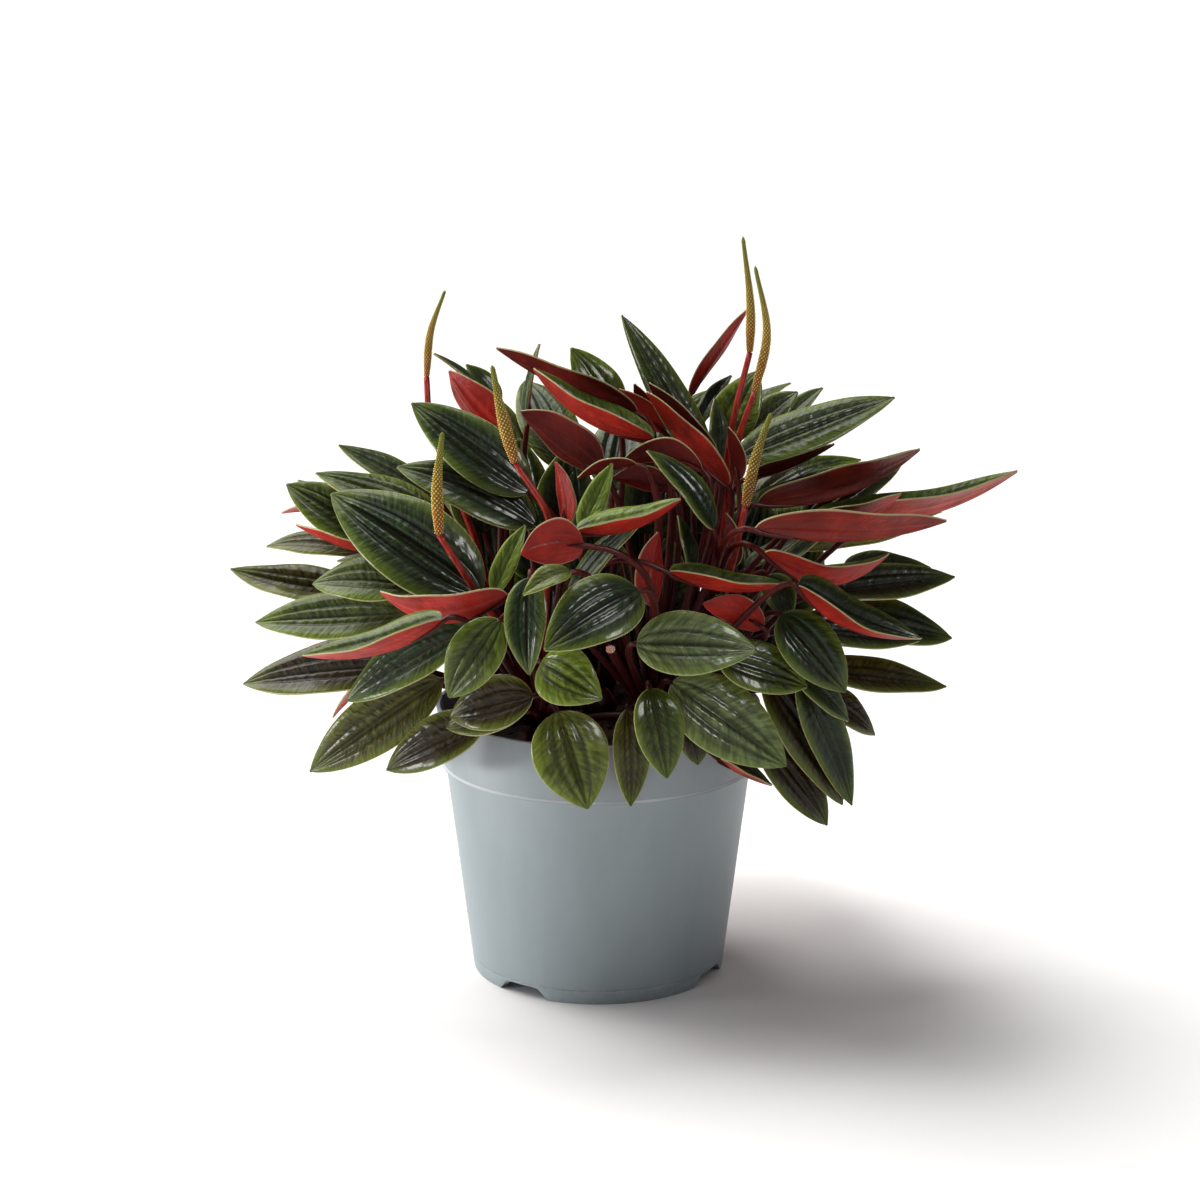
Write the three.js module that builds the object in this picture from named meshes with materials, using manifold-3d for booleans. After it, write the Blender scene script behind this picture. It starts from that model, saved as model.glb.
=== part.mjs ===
// Ripple peperomia in a tapered nursery pot. Millimetres, +Z up, the pot's axis on Z and
// its foot at z = 0. The plant is a clump of crowns standing in the potting mix; each
// crown is one body of short stem, leaf stalks, blades and flower stalks.
import * as THREE from "three";
import { mergeVertices } from "three/addons/utils/BufferGeometryUtils.js";
import Module from "manifold-3d";

const wasm = await Module();
wasm.setup();

const vec = (x, y, z) => new THREE.Vector3(x, y, z);
const UP = vec(0, 0, 1);
const radians = (degrees) => (degrees * Math.PI) / 180;

// ---------------------------------------------------------------- driving sizes

const GAP = 0.3; // clearance between pieces that touch

const POT = {
  height: 101,
  rimRadius: 60,
  footRadius: 46.8,
  wall: 1.6,
  bandBottom: 78.8, // lower edge of the band round the rim
  bandRadius: 57.4, // radius of the band at its lower edge
  bandStep: 0.8, // how far the band stands out from the wall below
  channelHeight: 4.5, // hollow under the floor, round the middle disc
  discRadius: 18,
  floor: 1.8,
  sides: 36,
};

const NOTCH = { headings: [-126.5, -27.5, 58, 150], width: 21, slant: 3, height: 4 };
const DRAIN = { count: 6, radius: 3.5, circle: 32, sides: 8 };

const MIX = { top: 92, mound: 0.8, lump: 0.8, rings: [18, 36, 48] };

const CROWN = {
  radius: 6,
  foot: 84,
  shoulder: 96, // where the stem begins to widen to its knob
  neck: 98,
  top: 104.5,
  peak: 105.5,
  knob: 7,
  topRadius: 4.2,
  sunk: 4.6, // how deep a stalk starts in the knob
  sides: 7,
};
const CROWNS = {
  front_left: [-20, -26],
  front_right: [20, -28],
  left: [-37, 2],
  right: [38, 0],
  middle: [0, 6],
  middle_left: [-18, -3],
  middle_right: [20, -5],
  rear_left: [-30, 30],
  rear_right: [30, 30],
  rear_middle: [0, 38],
};

const BLADE = {
  thickness: 0.8,
  keel: 0.5, // extra depth of the midrib under the blade
  ridge: 0.1, // height of the ridge between midrib and margin, of the half width
  groove: 0.04, // depth of the midrib groove, of the half width
  rise: 0.55, // exponent of the outline from the stalk end
  fall: 0.84, // exponent of the outline to the tip
  smallWidth: 11, // blades narrower than this have fewer stations
  stations: [0.16, 0.44, 0.74],
  smallStations: [0.24, 0.66],
};
const STALK = { bladeRadius: 1, crownRadius: 1.5, steps: 3 };
// How far a stalk runs straight out of the blade and out of the crown, of its length,
// and how steeply it leaves the crown.
const BLADE_REACHES = [0.14, 0.26, 0.4];
const CROWN_REACHES = [0.26, 0.45, 0.12];
const STALK_RISES = [0.6, 0.1, 1.5, 3];
const SPIKE = {
  sides: 8,
  rings: 10,
  baseRadius: 1.4, // where it sits on its stalk
  fullRadius: 2.05,
  tipRadius: 0.85,
  swell: 0.22, // share of its length over which it widens to the full radius
  relief: 0.14, // of the radius
  jointGap: 0.5,
};
const FLOWER_STALK = { radius: 1.05, footRadius: 1.4, sides: 5, steps: 5, lift: 6 };

// Cells that keep the blades and stalks clear of each other while the clump is filled.
const ROOM = { cell: 1.15, low: [-150, -130, 40], size: [270, 245, 210] };
const PROBE = {
  along: 34,
  across: 13,
  stalk: 30,
  stalkRadius: 1.1,
  step: 1, // how far a leaf is pushed back at a time
  limit: 50,
  spareLimit: 20, // pushes before a spare leaf is left out
  crowns: 6, // nearest crowns that are tried
  crowding: 1, // extra distance for each leaf a crown holds
};
const RIM_CLEARANCE = 2.2;

// The clump is laid out as seen from one point in front of the pot. A place is written
// [across, up, near]: across and up on the upright plane through the pot's axis, near the
// distance in front of that plane, along the line of sight.
const VIEWPOINT = vec(0.66, -1000, 376.8);

// ---------------------------------------------------------------- leaves in view

// Rows run from the farthest leaf to the nearest. Roll turns a blade from facing the
// viewpoint (0) through edge-on (90, top side up) to its underside (180). Fold is how
// far each half tilts up from flat. Bow is the rise of the middle, of the length.
// [stalk end, tip, width, roll, fold, bow]
const LEAVES_IN_VIEW = [
  [[7, 206, 0], [-9.8, 232.6, -4], 17, 20, 12, 0.06],
  [[33, 216, -4], [54, 247, -8], 10, 118, 10, 0],
  [[37, 205, -2], [48, 222.5, -6], 10, 50, 15, 0.05],
  [[45, 198, -2], [57.5, 224, -6], 18, 15, 12, 0.05],
  [[65, 203, -4], [81, 218, -6], 9, 40, 15, 0.05],
  [[56, 202, 0], [72, 216.5, -3], 13, 30, 15, 0.05],
  [[-36, 212, -2], [-47.5, 226.5, -6], 10, 35, 12, 0.05],
  [[-42, 217, 0], [-59, 230.4, -3], 6, 70, 15, 0.03],
  [[-26, 204, 0], [-21, 234, -6], 12, 80, 10, 0.03],
  [[40, 188, 6], [8.5, 244, 0], 16, 30, 14, 0],
  [[19, 205, 2], [13, 219.5, 0], 7, 150, 15, 0],
  [[24, 202, 4], [7.5, 217.5, 2], 9, 150, 15, 0],
  [[14, 209, 8], [-36, 232.3, 2], 22, 102, 28, -0.05],
  [[43, 190, 12], [18.5, 219.5, 8], 14, 128, 16, -0.03],
  [[42, 189, 12], [42, 214, 6], 10, 40, 15, 0.05],
  [[47, 182, 18], [18, 216, 14], 20, 112, 22, -0.05],
  [[50, 191.5, 10], [106.3, 214.2, 0], 20, 38, 12, 0],
  [[54, 185, 14], [85.5, 197.5, 8], 13, 112, 14, -0.05],
  [[-33, 199, 6], [-53.5, 224, 2], 22, 128, 16, -0.08],
  [[20, 199, 20], [-22.5, 224.5, 12], 25, 80, 36, -0.12],
  [[1, 187, 28], [-28, 209.5, 22], 26, 124, 18, -0.03],
  [[-59, 177, 12], [-94, 197, 2], 16, 50, 12, 0],
  [[-57, 168, 24], [-102, 186.5, 6], 20, 50, 12, 0.02],
  [[-84, 167, 14], [-109, 184, 0], 9, 55, 12, 0.05],
  [[-82, 163, 18], [-113, 182.5, 4], 19, 20, 12, 0.02],
  [[-23, 167, 36], [-73, 189, 26], 22, 35, 12, 0.08],
  [[-25, 180, 34], [-67.3, 212.4, 18], 21.5, 8, 10, 0.06],
  [[-85, 157, 16], [-121, 159.5, 2], 15, 50, 14, 0.06],
  [[-80, 157, 24], [-109.5, 167.5, 10], 13, 92, 18, -0.04],
  [[-88, 142, 20], [-134.5, 151, 4], 22, 52, 14, -0.05],
  [[-72, 151, 26], [-95, 154, 12], 9, 50, 14, 0.06],
  [[-70, 134, 34], [-125, 131, 10], 23, 38, 14, 0],
  [[-66, 144, 36], [-103.5, 145.5, 18], 21, 38, 14, 0.06],
  [[-43, 142, 58], [-97, 179, 34], 31, 12, 8, 0.07],
  [[-66, 133, 36], [-82, 135, 26], 7, 60, 14, 0.06],
  [[-38, 142, 60], [-26.5, 167.5, 56], 10, 30, 22, 0],
  [[-33, 141, 70], [-79, 142.5, 54], 23, 102, 36, -0.2],
  [[-73, 114, 36], [-131, 107.5, 12], 26, 42, 14, 0.02],
  [[-57, 132, 56], [-106.5, 119, 38], 23, 74, 34, -0.1],
  [[-58, 109, 36], [-107, 74, 18], 22.5, 10, 10, 0.05],
  [[-48, 128, 65], [-93, 101, 47], 22, 35, 14, 0.03],
  [[-42, 93, 54], [-78.5, 74.5, 38], 19, 22, 12, 0.06],
  [[-28, 97, 60], [-56, 91, 48], 16, 30, 12, 0.05],
  [[-24, 103, 64], [-54.5, 95, 52], 20, 18, 12, 0.06],
  [[-36, 132, 62], [-54.5, 103.5, 58], 19, 12, 12, 0.06],
  [[38, 188, 34], [7, 188, 32], 15, 125, 16, 0.22],
  [[26, 181, 32], [5, 185, 30], 12, 140, 16, 0.1],
  [[14, 190, 34], [-7, 185, 32], 9, 118, 16, 0.06],
  [[42, 166, 40], [18, 194.5, 34], 15, 52, 14, 0.08],
  [[-12, 167, 46], [-15.5, 191, 42], 11, 125, 14, 0.05],
  [[-6, 166, 52], [5, 190, 48], 10, 28, 20, -0.04],
  [[-10, 140, 62], [17, 170, 52], 15, 60, 14, 0.04],
  [[-8, 165, 64], [29.5, 177, 62], 20, 76, 34, -0.12],
  [[-5, 160, 74], [-28, 157, 78], 19, 148, 14, 0.12],
  [[-25, 148, 70], [-25.5, 112, 80], 16, 25, 14, 0.05],
  [[-10, 150, 72], [-27, 141.5, 78], 10, 40, 22, 0.08],
  [[34, 150, 50], [29, 171, 46], 10, 60, 12, 0.04],
  [[20, 137, 62], [22, 165, 56], 14, 135, 16, 0.05],
  [[15, 143, 74], [-19, 121, 90], 25, 22, 10, 0.08],
  [[62, 149, 50], [70.5, 132.5, 54], 13, 25, 12, 0.05],
  [[26, 150, 70], [69, 145.5, 64], 19, 76, 34, -0.1],
  [[56, 132, 58], [42.5, 141, 56], 8, 140, 12, 0.05],
  [[61, 129, 62], [38.5, 138, 64], 13, 148, 14, 0.12],
  [[51, 184, 26], [47, 203.5, 22], 9, 130, 14, 0.03],
  [[50, 152, 40], [46.5, 172, 38], 9, 125, 14, 0.03],
  [[75, 168, 14], [110, 190, 4], 22, 42, 12, 0.05],
  [[58, 175.5, 28], [116.5, 195.5, 10], 30, 87, 40, -0.1],
  [[80, 171, 30], [151.5, 187.3, 8], 26, 80, 36, -0.1],
  [[77, 169, 42], [109.5, 179, 26], 16, 104, 26, -0.12],
  [[98, 167, 16], [125, 172.5, 6], 9, 60, 12, 0],
  [[66, 159, 8], [114, 165.5, -8], 17, 60, 14, -0.02],
  [[57, 166, 46], [124.5, 169, 26], 27, 104, 30, -0.07],
  [[54, 151, 10], [76, 164.5, 4], 12, 60, 14, 0],
  [[68, 153, 40], [83, 164.5, 30], 8, 60, 14, 0],
  [[90, 152, 18], [121.5, 151.5, 4], 13, 55, 12, 0.04],
  [[82, 142, 28], [130, 148, 8], 21, 48, 14, 0],
  [[60.5, 157, 60], [106, 156.8, 44], 23, 90, 34, -0.22],
  [[86, 131, 26], [130, 125, 8], 23, 42, 14, 0.04],
  [[72, 129, 42], [118, 124, 28], 18, 40, 12, 0.02],
  [[73, 145, 52], [117.5, 125.5, 36], 25, 66, 36, -0.13],
  [[80, 112, 30], [128.5, 106.5, 8], 20, 50, 14, 0],
  [[78, 104, 30], [102.5, 88, 18], 15, 40, 12, 0.08],
  [[59, 89, 40], [85.5, 53, 30], 18, 20, 12, 0.06],
  [[61, 111, 44], [91, 61, 34], 22, 30, 12, 0.06],
  [[74, 111, 44], [94.5, 61, 34], 17, 30, 12, 0.02],
  [[72, 113, 46], [92.5, 93.5, 38], 12, 35, 12, 0.05],
  [[67, 134, 60], [91.5, 104.5, 64], 20, 10, 10, 0.08],
  [[45, 79, 54], [64.5, 68.5, 46], 11, 62, 38, -0.05],
  [[44, 118, 62], [77, 106.5, 58], 19, 20, 12, 0.06],
  [[34, 97, 62], [37, 76.5, 64], 13, 10, 12, 0.05],
  [[14, 123, 70], [58, 120.5, 74], 23, 15, 8, 0.07],
  [[27, 108, 66], [70, 76, 66], 26, 8, 8, 0.06],
  [[11, 98, 64], [12, 60.5, 64], 14, 18, 12, 0.05],
  [[19, 106, 66], [25.5, 71.5, 70], 18, 14, 12, 0.06],
  [[-21, 116, 72], [1.3, 101.8, 84], 21, 0, 8, 0.1],
  [[-15, 97, 62], [-4, 59.5, 68], 27, 0, 8, 0.06],
];

// ---------------------------------------------------------------- leaves at the rear

// Tiers of leaves that fan out behind the clump, by a rule with seeded draws.
// Radii and heights are those of a blade's stalk end and tip.
const REAR_SPAN = [16, 164]; // headings, degrees from +X round by the back
const REAR_NARROW = 0.94; // of the fan's radius, across the clump
const REAR_TIERS = [
  { count: 4, footRadius: 12, footHeight: 178, tipRadius: 46, tipHeight: 204 },
  { count: 6, footRadius: 30, footHeight: 156, tipRadius: 74, tipHeight: 170 },
  { count: 7, footRadius: 36, footHeight: 182, tipRadius: 74, tipHeight: 210 },
  { count: 8, footRadius: 50, footHeight: 168, tipRadius: 100, tipHeight: 184 },
  { count: 10, footRadius: 66, footHeight: 156, tipRadius: 120, tipHeight: 160 },
  { count: 11, footRadius: 72, footHeight: 134, tipRadius: 126, tipHeight: 124 },
  { count: 11, footRadius: 69, footHeight: 113, tipRadius: 116, tipHeight: 84 },
];
const REAR_LEAF = { width: 23, widthDraw: 3, headingDraw: 3, heightDraw: 4, rollDraw: 16, fold: 12, bow: 0.08 };
const REAR_STAGGER = [0.65, 0.35]; // where the first leaf of a tier stands, of a step
const REAR_SEED = 5;

// Rows of dark leaves that stand up inside the clump, behind the crowns at the front.
// Each row has the height of its stalk ends and half its spread across.
const INNER_ROWS = [[106, 72], [123, 76], [141, 68], [159, 52]];
const INNER_LEAF = {
  count: 7,
  depth: 14,
  rise: 33,
  lean: 0.16,
  width: 23,
  draw: 4,
  fold: 12,
  bow: 0.06,
  tilt: 0.35,
};
const INNER_STAGGER = [0.75, 1.25]; // where the first leaf of a row stands, of half a step
const INNER_SEED = 23;

// ---------------------------------------------------------------- flower spikes

// [crown, girth, tip, bend, joint with the red stalk, a place the stalk passes]
const FLOWER_SPIKES = [
  ["front_left", 1, [-38.2, 226.3, 50], [-34.5, 207, 54], [-30, 190.5, 58], [-18, 170, 60]],
  ["front_left", 0.92, [-56.3, 202, 74], [-58.5, 183, 76], [-58, 164, 76], [-44.5, 142, 74]],
  ["rear_left", 0.68, [-54.7, 253.3, 2], [-60.2, 238, 4], [-61.8, 222, 6], [-60.5, 205, 12]],
  ["right", 0.8, [51.5, 272.5, 14], [54.5, 248, 16], [54.5, 231, 18], [48.5, 204, 24]],
  ["right", 0.8, [56, 262, 20], [60.5, 238, 24], [56.5, 216.5, 28], [51, 200, 30]],
  ["right", 0.92, [62.5, 209, 44], [57, 192, 46], [53.5, 174.5, 48], [50, 157, 50]],
];

// ---------------------------------------------------------------- solids

function manifoldOf(geometry) {
  geometry.deleteAttribute("normal");
  geometry.deleteAttribute("uv");
  const closed = mergeVertices(geometry, 1e-4);
  const vertProperties = new Float32Array(closed.attributes.position.array);
  const triVerts = new Uint32Array(closed.index.array);
  return new wasm.Manifold(new wasm.Mesh({ numProp: 3, vertProperties, triVerts }));
}

function geometryOf(manifold) {
  const mesh = manifold.getMesh();
  const geometry = new THREE.BufferGeometry();
  geometry.setAttribute("position", new THREE.BufferAttribute(mesh.vertProperties, 3));
  geometry.setIndex(new THREE.BufferAttribute(mesh.triVerts, 1));
  return geometry;
}

function turned(profile, sides) {
  const points = profile.map(([radius, height]) => new THREE.Vector2(radius, height));
  return new THREE.LatheGeometry(points, sides).rotateX(Math.PI / 2);
}

// A closed skin over rings of equal size, with a flat cap at each end or a point at the last.
function skinned(rings, endPoint) {
  const size = rings[0].length;
  const vertices = rings.flat();
  const triangles = wallBetween(0, size, rings.length);
  closeEnd(vertices, triangles, 0, size, null, true);
  closeEnd(vertices, triangles, (rings.length - 1) * size, size, endPoint, false);
  return skinOf(vertices, triangles);
}

function skinOf(vertices, triangles) {
  const geometry = new THREE.BufferGeometry().setFromPoints(vertices);
  geometry.setIndex(triangles);
  return geometry;
}

// Triangles between rings of equal size whose corners follow each other from first.
function wallBetween(first, size, rings) {
  const triangles = [];
  for (let ring = 0; ring + 1 < rings; ring += 1) {
    for (let side = 0; side < size; side += 1) {
      const a = first + ring * size + side;
      const b = first + ring * size + ((side + 1) % size);
      triangles.push(a, b, b + size, a, b + size, a + size);
    }
  }
  return triangles;
}

function closeEnd(vertices, triangles, first, size, point, turnedOver) {
  const hub = point ? vertices.push(point) - 1 : first;
  for (let side = point ? 0 : 1; side < (point ? size : size - 1); side += 1) {
    const a = first + side;
    const b = first + ((side + 1) % size);
    triangles.push(hub, ...(turnedOver ? [b, a] : [a, b]));
  }
}

// Rings of a round section along a list of points, carried without twist.
function tubeRings(path, radii, sides, relief = () => 1, firstSide = null) {
  const rings = [];
  let side = firstSide?.clone() ?? null;
  for (let step = 0; step < path.length; step += 1) {
    const before = path[Math.max(step - 1, 0)];
    const after = path[Math.min(step + 1, path.length - 1)];
    const along = after.clone().sub(before).normalize();
    if (side === null) {
      side = Math.abs(along.z) < 0.9 ? along.clone().cross(UP) : along.clone().cross(vec(1, 0, 0));
    }
    side.addScaledVector(along, -side.dot(along)).normalize();
    const other = along.clone().cross(side);
    const ring = [];
    for (let corner = 0; corner < sides; corner += 1) {
      const angle = (2 * Math.PI * corner) / sides;
      const radius = radii[step] * relief(step, corner);
      const spoke = side.clone().multiplyScalar(Math.cos(angle) * radius);
      ring.push(path[step].clone().add(spoke).addScaledVector(other, Math.sin(angle) * radius));
    }
    rings.push(ring);
  }
  return rings;
}

// ---------------------------------------------------------------- leaf geometry

function place([across, up, near]) {
  const scale = 1 - near / -VIEWPOINT.y;
  return vec(across, 0, up).sub(VIEWPOINT).multiplyScalar(scale).add(VIEWPOINT);
}

function leafBody(foot, tip, facing, push, width, roll, fold, bow) {
  const axis = tip.clone().sub(foot).normalize();
  const flat = facing.clone().addScaledVector(axis, -facing.dot(axis)).normalize();
  const turn = axis.clone().cross(flat);
  const up = turn.z < 0 ? -1 : 1;
  const normal = flat.multiplyScalar(Math.cos(roll)).addScaledVector(turn, up * Math.sin(roll));
  const across = axis.clone().cross(normal);
  return { foot, tip, normal, across, push, width, fold, bow, plain: width < BLADE.smallWidth };
}

function leafInView([foot, tip, width, roll, fold, bow]) {
  const footPoint = place(foot);
  const forward = VIEWPOINT.clone().sub(footPoint).normalize();
  return leafBody(footPoint, place(tip), forward, forward, width, radians(roll), radians(fold), bow);
}

function spineAt(leaf, t) {
  const point = leaf.foot.clone().lerp(leaf.tip, t);
  const length = leaf.foot.distanceTo(leaf.tip);
  return point.addScaledVector(leaf.normal, 4 * t * (1 - t) * leaf.bow * length);
}

function outlineAt(t) {
  const widest = BLADE.rise / (BLADE.rise + BLADE.fall);
  return (t / widest) ** BLADE.rise * ((1 - t) / (1 - widest)) ** BLADE.fall;
}

// A point of the blade's middle surface: side runs from -1 to 1 across it.
function bladePoint(leaf, t, side) {
  const half = (leaf.width / 2) * outlineAt(t);
  const point = spineAt(leaf, t).addScaledVector(leaf.across, side * half * Math.cos(leaf.fold));
  return point.addScaledVector(leaf.normal, Math.abs(side) * half * Math.sin(leaf.fold));
}

function bladeRing(leaf, t) {
  const half = (leaf.width / 2) * outlineAt(t);
  const over = (side, height) => bladePoint(leaf, t, side).addScaledVector(leaf.normal, height);
  const under = BLADE.thickness / 2;
  const ridge = under + BLADE.ridge * half;
  const underside = [over(1, -under), over(0, -under - BLADE.keel), over(-1, -under)];
  if (leaf.plain) {
    return [over(-1, under), over(0, under), over(1, under), ...underside];
  }
  const groove = over(0, under - BLADE.groove * half);
  return [over(-1, under), over(-0.52, ridge), groove, over(0.52, ridge), over(1, under), ...underside];
}

function stationsOf(leaf) {
  return leaf.plain ? BLADE.smallStations : BLADE.stations;
}

// A stalk and its blade as one closed skin: rings of three corners up the stalk, carried
// over to the blade's rings at the stalk end of the blade.
function leafSolid(leaf) {
  const stalk = stalkRings(leaf);
  const blade = stationsOf(leaf).map((t) => bladeRing(leaf, t));
  const vertices = [...stalk.flat(), ...blade.flat()];
  const corners = blade[0].length;
  const firstOfBlade = 3 * stalk.length;
  const triangles = [...wallBetween(0, 3, stalk.length), ...wallBetween(firstOfBlade, corners, blade.length)];
  triangles.push(...stalkToBlade(firstOfBlade - 3, firstOfBlade, corners));
  closeEnd(vertices, triangles, 0, 3, null, true);
  closeEnd(vertices, triangles, firstOfBlade + (blade.length - 1) * corners, corners, leaf.tip, false);
  return manifoldOf(skinOf(vertices, triangles));
}

// Rings from the crown to the blade, their corners at the blade's left, right and keel.
function stalkRings(leaf) {
  const { bladeRadius, crownRadius, steps } = STALK;
  const radii = leaf.stalk.map((_, step) => THREE.MathUtils.lerp(bladeRadius, crownRadius, step / steps));
  const left = leaf.across.clone().multiplyScalar(-Math.cos(Math.PI / 6)).addScaledVector(leaf.normal, 0.5);
  const rings = tubeRings(leaf.stalk, radii, 3, () => 1, left);
  return rings.reverse().map(([first, keel, right]) => [first, right, keel]);
}

function stalkToBlade(stalk, blade, corners) {
  const plain = corners === 6;
  const turns = plain ? [1, 3, 5] : [2, 5, 7]; // blade corners where the stalk corner changes
  const triangles = [];
  let held = 0;
  for (let corner = 0; corner < corners; corner += 1) {
    const next = (corner + 1) % corners;
    if (turns[held] === corner && corner !== turns[2]) {
      triangles.push(stalk + held, stalk + held + 1, blade + corner);
      held += 1;
    } else if (corner === turns[2]) {
      triangles.push(stalk + 2, stalk, blade + corner);
      held = 0;
    }
    triangles.push(stalk + held, blade + next, blade + corner);
  }
  return triangles;
}

function crownHead(name, toward) {
  const neck = vec(...CROWNS[name], CROWN.neck);
  const out = toward.clone().sub(neck).normalize();
  return { head: neck.addScaledVector(out, CROWN.sunk), out };
}

// The chords of a stalk that leaves the blade along its midrib and the crown outward.
function stalkPath(leaf, crown, [bladeReach, crownReach, rise]) {
  const start = leaf.foot;
  const { head, out } = crownHead(crown, start);
  const length = start.distanceTo(head);
  const outward = start.clone().sub(spineAt(leaf, BLADE.stations[0])).setLength(bladeReach * length).add(start);
  const upward = out.addScaledVector(UP, rise).setLength(crownReach * length).add(head);
  return new THREE.CubicBezierCurve3(start, outward, upward, head).getPoints(STALK.steps);
}

// Every shape that a stalk may take, the plainest first.
const STALK_SHAPES = STALK_RISES.flatMap((rise) =>
  CROWN_REACHES.flatMap((crown) => BLADE_REACHES.map((blade) => [blade, crown, rise])),
);

// ---------------------------------------------------------------- keeping leaves apart

const room = new Uint8Array(ROOM.size[0] * ROOM.size[1] * ROOM.size[2]);
const SOLID_MARK = 100;
const stalkMark = (crown) => 1 + Object.keys(CROWNS).indexOf(crown);

function cellIndex(point, offset = [0, 0, 0]) {
  const { low, cell, size } = ROOM;
  const [x, y, z] = point.toArray().map((value, axis) => Math.floor((value - low[axis]) / cell) + offset[axis]);
  return (x * size[1] + y) * size[2] + z;
}

function markRoom(points, mark) {
  for (const point of points) {
    for (let near = 0; near < 27; near += 1) {
      const offset = [(near % 3) - 1, (Math.floor(near / 3) % 3) - 1, Math.floor(near / 9) - 1];
      const index = cellIndex(point, offset);
      room[index] = Math.max(room[index], mark);
    }
  }
}

function bladeProbe(leaf) {
  const points = [];
  for (let along = 0; along <= PROBE.along; along += 1) {
    for (let across = 0; across <= PROBE.across; across += 1) {
      points.push(bladePoint(leaf, along / PROBE.along, (2 * across) / PROBE.across - 1));
    }
  }
  return points;
}

// Points spread evenly along the chords of a path.
function pathProbe(path) {
  const points = [];
  for (let step = 0; step <= PROBE.stalk; step += 1) {
    const reached = (step / PROBE.stalk) * (path.length - 1);
    const chord = Math.min(Math.floor(reached), path.length - 2);
    points.push(path[chord].clone().lerp(path[chord + 1], reached - chord));
  }
  return points;
}

function aroundPath(path) {
  const probe = pathProbe(path);
  const sides = tubeRings(probe, probe.map(() => PROBE.stalkRadius), 4);
  return [...probe, ...sides.flat()];
}

function clearOfPot(point) {
  const away = Math.hypot(point.x, point.y);
  return point.z > POT.height + RIM_CLEARANCE || away > POT.rimRadius + RIM_CLEARANCE;
}

function bladeIsClear(leaf) {
  return bladeProbe(leaf).every((point) => room[cellIndex(point)] === 0 && clearOfPot(point));
}

function stalkIsClear(crown, path) {
  const own = stalkMark(crown);
  return aroundPath(path).every((point) => {
    const mark = room[cellIndex(point)];
    const inside = Math.hypot(point.x, point.y) < POT.rimRadius - POT.wall - RIM_CLEARANCE;
    return (mark === 0 || mark === own) && (inside || clearOfPot(point));
  });
}

// The crowns nearest to a leaf, counting one that already holds many leaves as farther.
const leavesHeld = Object.fromEntries(Object.keys(CROWNS).map((name) => [name, 0]));

function crownsInReach(leaf) {
  const away = ([x, y]) => Math.hypot(leaf.foot.x - x, leaf.foot.y - y);
  const cost = (name) => away(CROWNS[name]) + PROBE.crowding * leavesHeld[name];
  return Object.keys(CROWNS).sort((a, b) => cost(a) - cost(b)).slice(0, PROBE.crowns);
}

function withStalk(leaf) {
  for (const crown of crownsInReach(leaf)) {
    for (const shape of STALK_SHAPES) {
      const stalk = stalkPath(leaf, crown, shape);
      if (stalkIsClear(crown, stalk)) {
        return { ...leaf, crown, stalk };
      }
    }
  }
  return null;
}

// Brings a leaf outward, a little at a time, until its blade lies clear of all before it
// and a stalk can reach it. A spare leaf that finds no such place is left out.
function fitLeaf(leaf) {
  const limit = leaf.spare ? PROBE.spareLimit : PROBE.limit;
  for (let tries = 0; tries < limit; tries += 1) {
    const shift = leaf.push.clone().multiplyScalar(tries * PROBE.step);
    const moved = { ...leaf, foot: leaf.foot.clone().add(shift), tip: leaf.tip.clone().add(shift) };
    const fitted = bladeIsClear(moved) ? withStalk(moved) : null;
    if (fitted) {
      return fitted;
    }
  }
  if (!leaf.spare) {
    throw new Error("A leaf in view finds no clear place.");
  }
  return null;
}

function markFlowerSpikes() {
  for (const spike of FLOWER_SPIKES) {
    markRoom(pathProbe(flowerSpikePath(spike)), SOLID_MARK);
    markRoom(pathProbe(flowerStalkPath(spike)), stalkMark(spike[0]));
  }
}

function fittedLeaves(leaves) {
  markFlowerSpikes();
  const placed = [];
  for (const leaf of leaves) {
    const fitted = fitLeaf(leaf);
    if (fitted) {
      leavesHeld[fitted.crown] += 1;
      markRoom(bladeProbe(fitted), SOLID_MARK);
      markRoom(pathProbe(fitted.stalk), stalkMark(fitted.crown));
      placed.push(fitted);
    }
  }
  return placed;
}

// Evenly spread draws in -1..1 from a seed.
function seededDraws(seed) {
  let state = seed;
  return () => {
    state = (state * 16807) % 2147483647;
    return (2 * state) / 2147483647 - 1;
  };
}

function innerLeaves() {
  const { count, depth, rise, lean, width, draw, fold, bow, tilt } = INNER_LEAF;
  const next = seededDraws(INNER_SEED);
  const facing = vec(0, -1, tilt);
  const leaves = [];
  INNER_ROWS.forEach(([height, spread], row) => {
    for (let index = 0; index < count; index += 1) {
      const across = spread * ((2 * index + INNER_STAGGER[row % INNER_STAGGER.length]) / count - 1);
      const foot = vec(across + next() * draw, depth + next() * draw, height + Math.abs(next()) * draw);
      const tip = foot.clone().add(vec(across * lean + next() * draw, Math.abs(next()) * draw, rise));
      const roll = radians(next() * REAR_LEAF.rollDraw);
      const leaf = leafBody(foot, tip, facing, vec(0, 1, 0), width, roll, radians(fold), bow);
      leaves.push({ ...leaf, plain: true, spare: true });
    }
  });
  return leaves;
}

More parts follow.
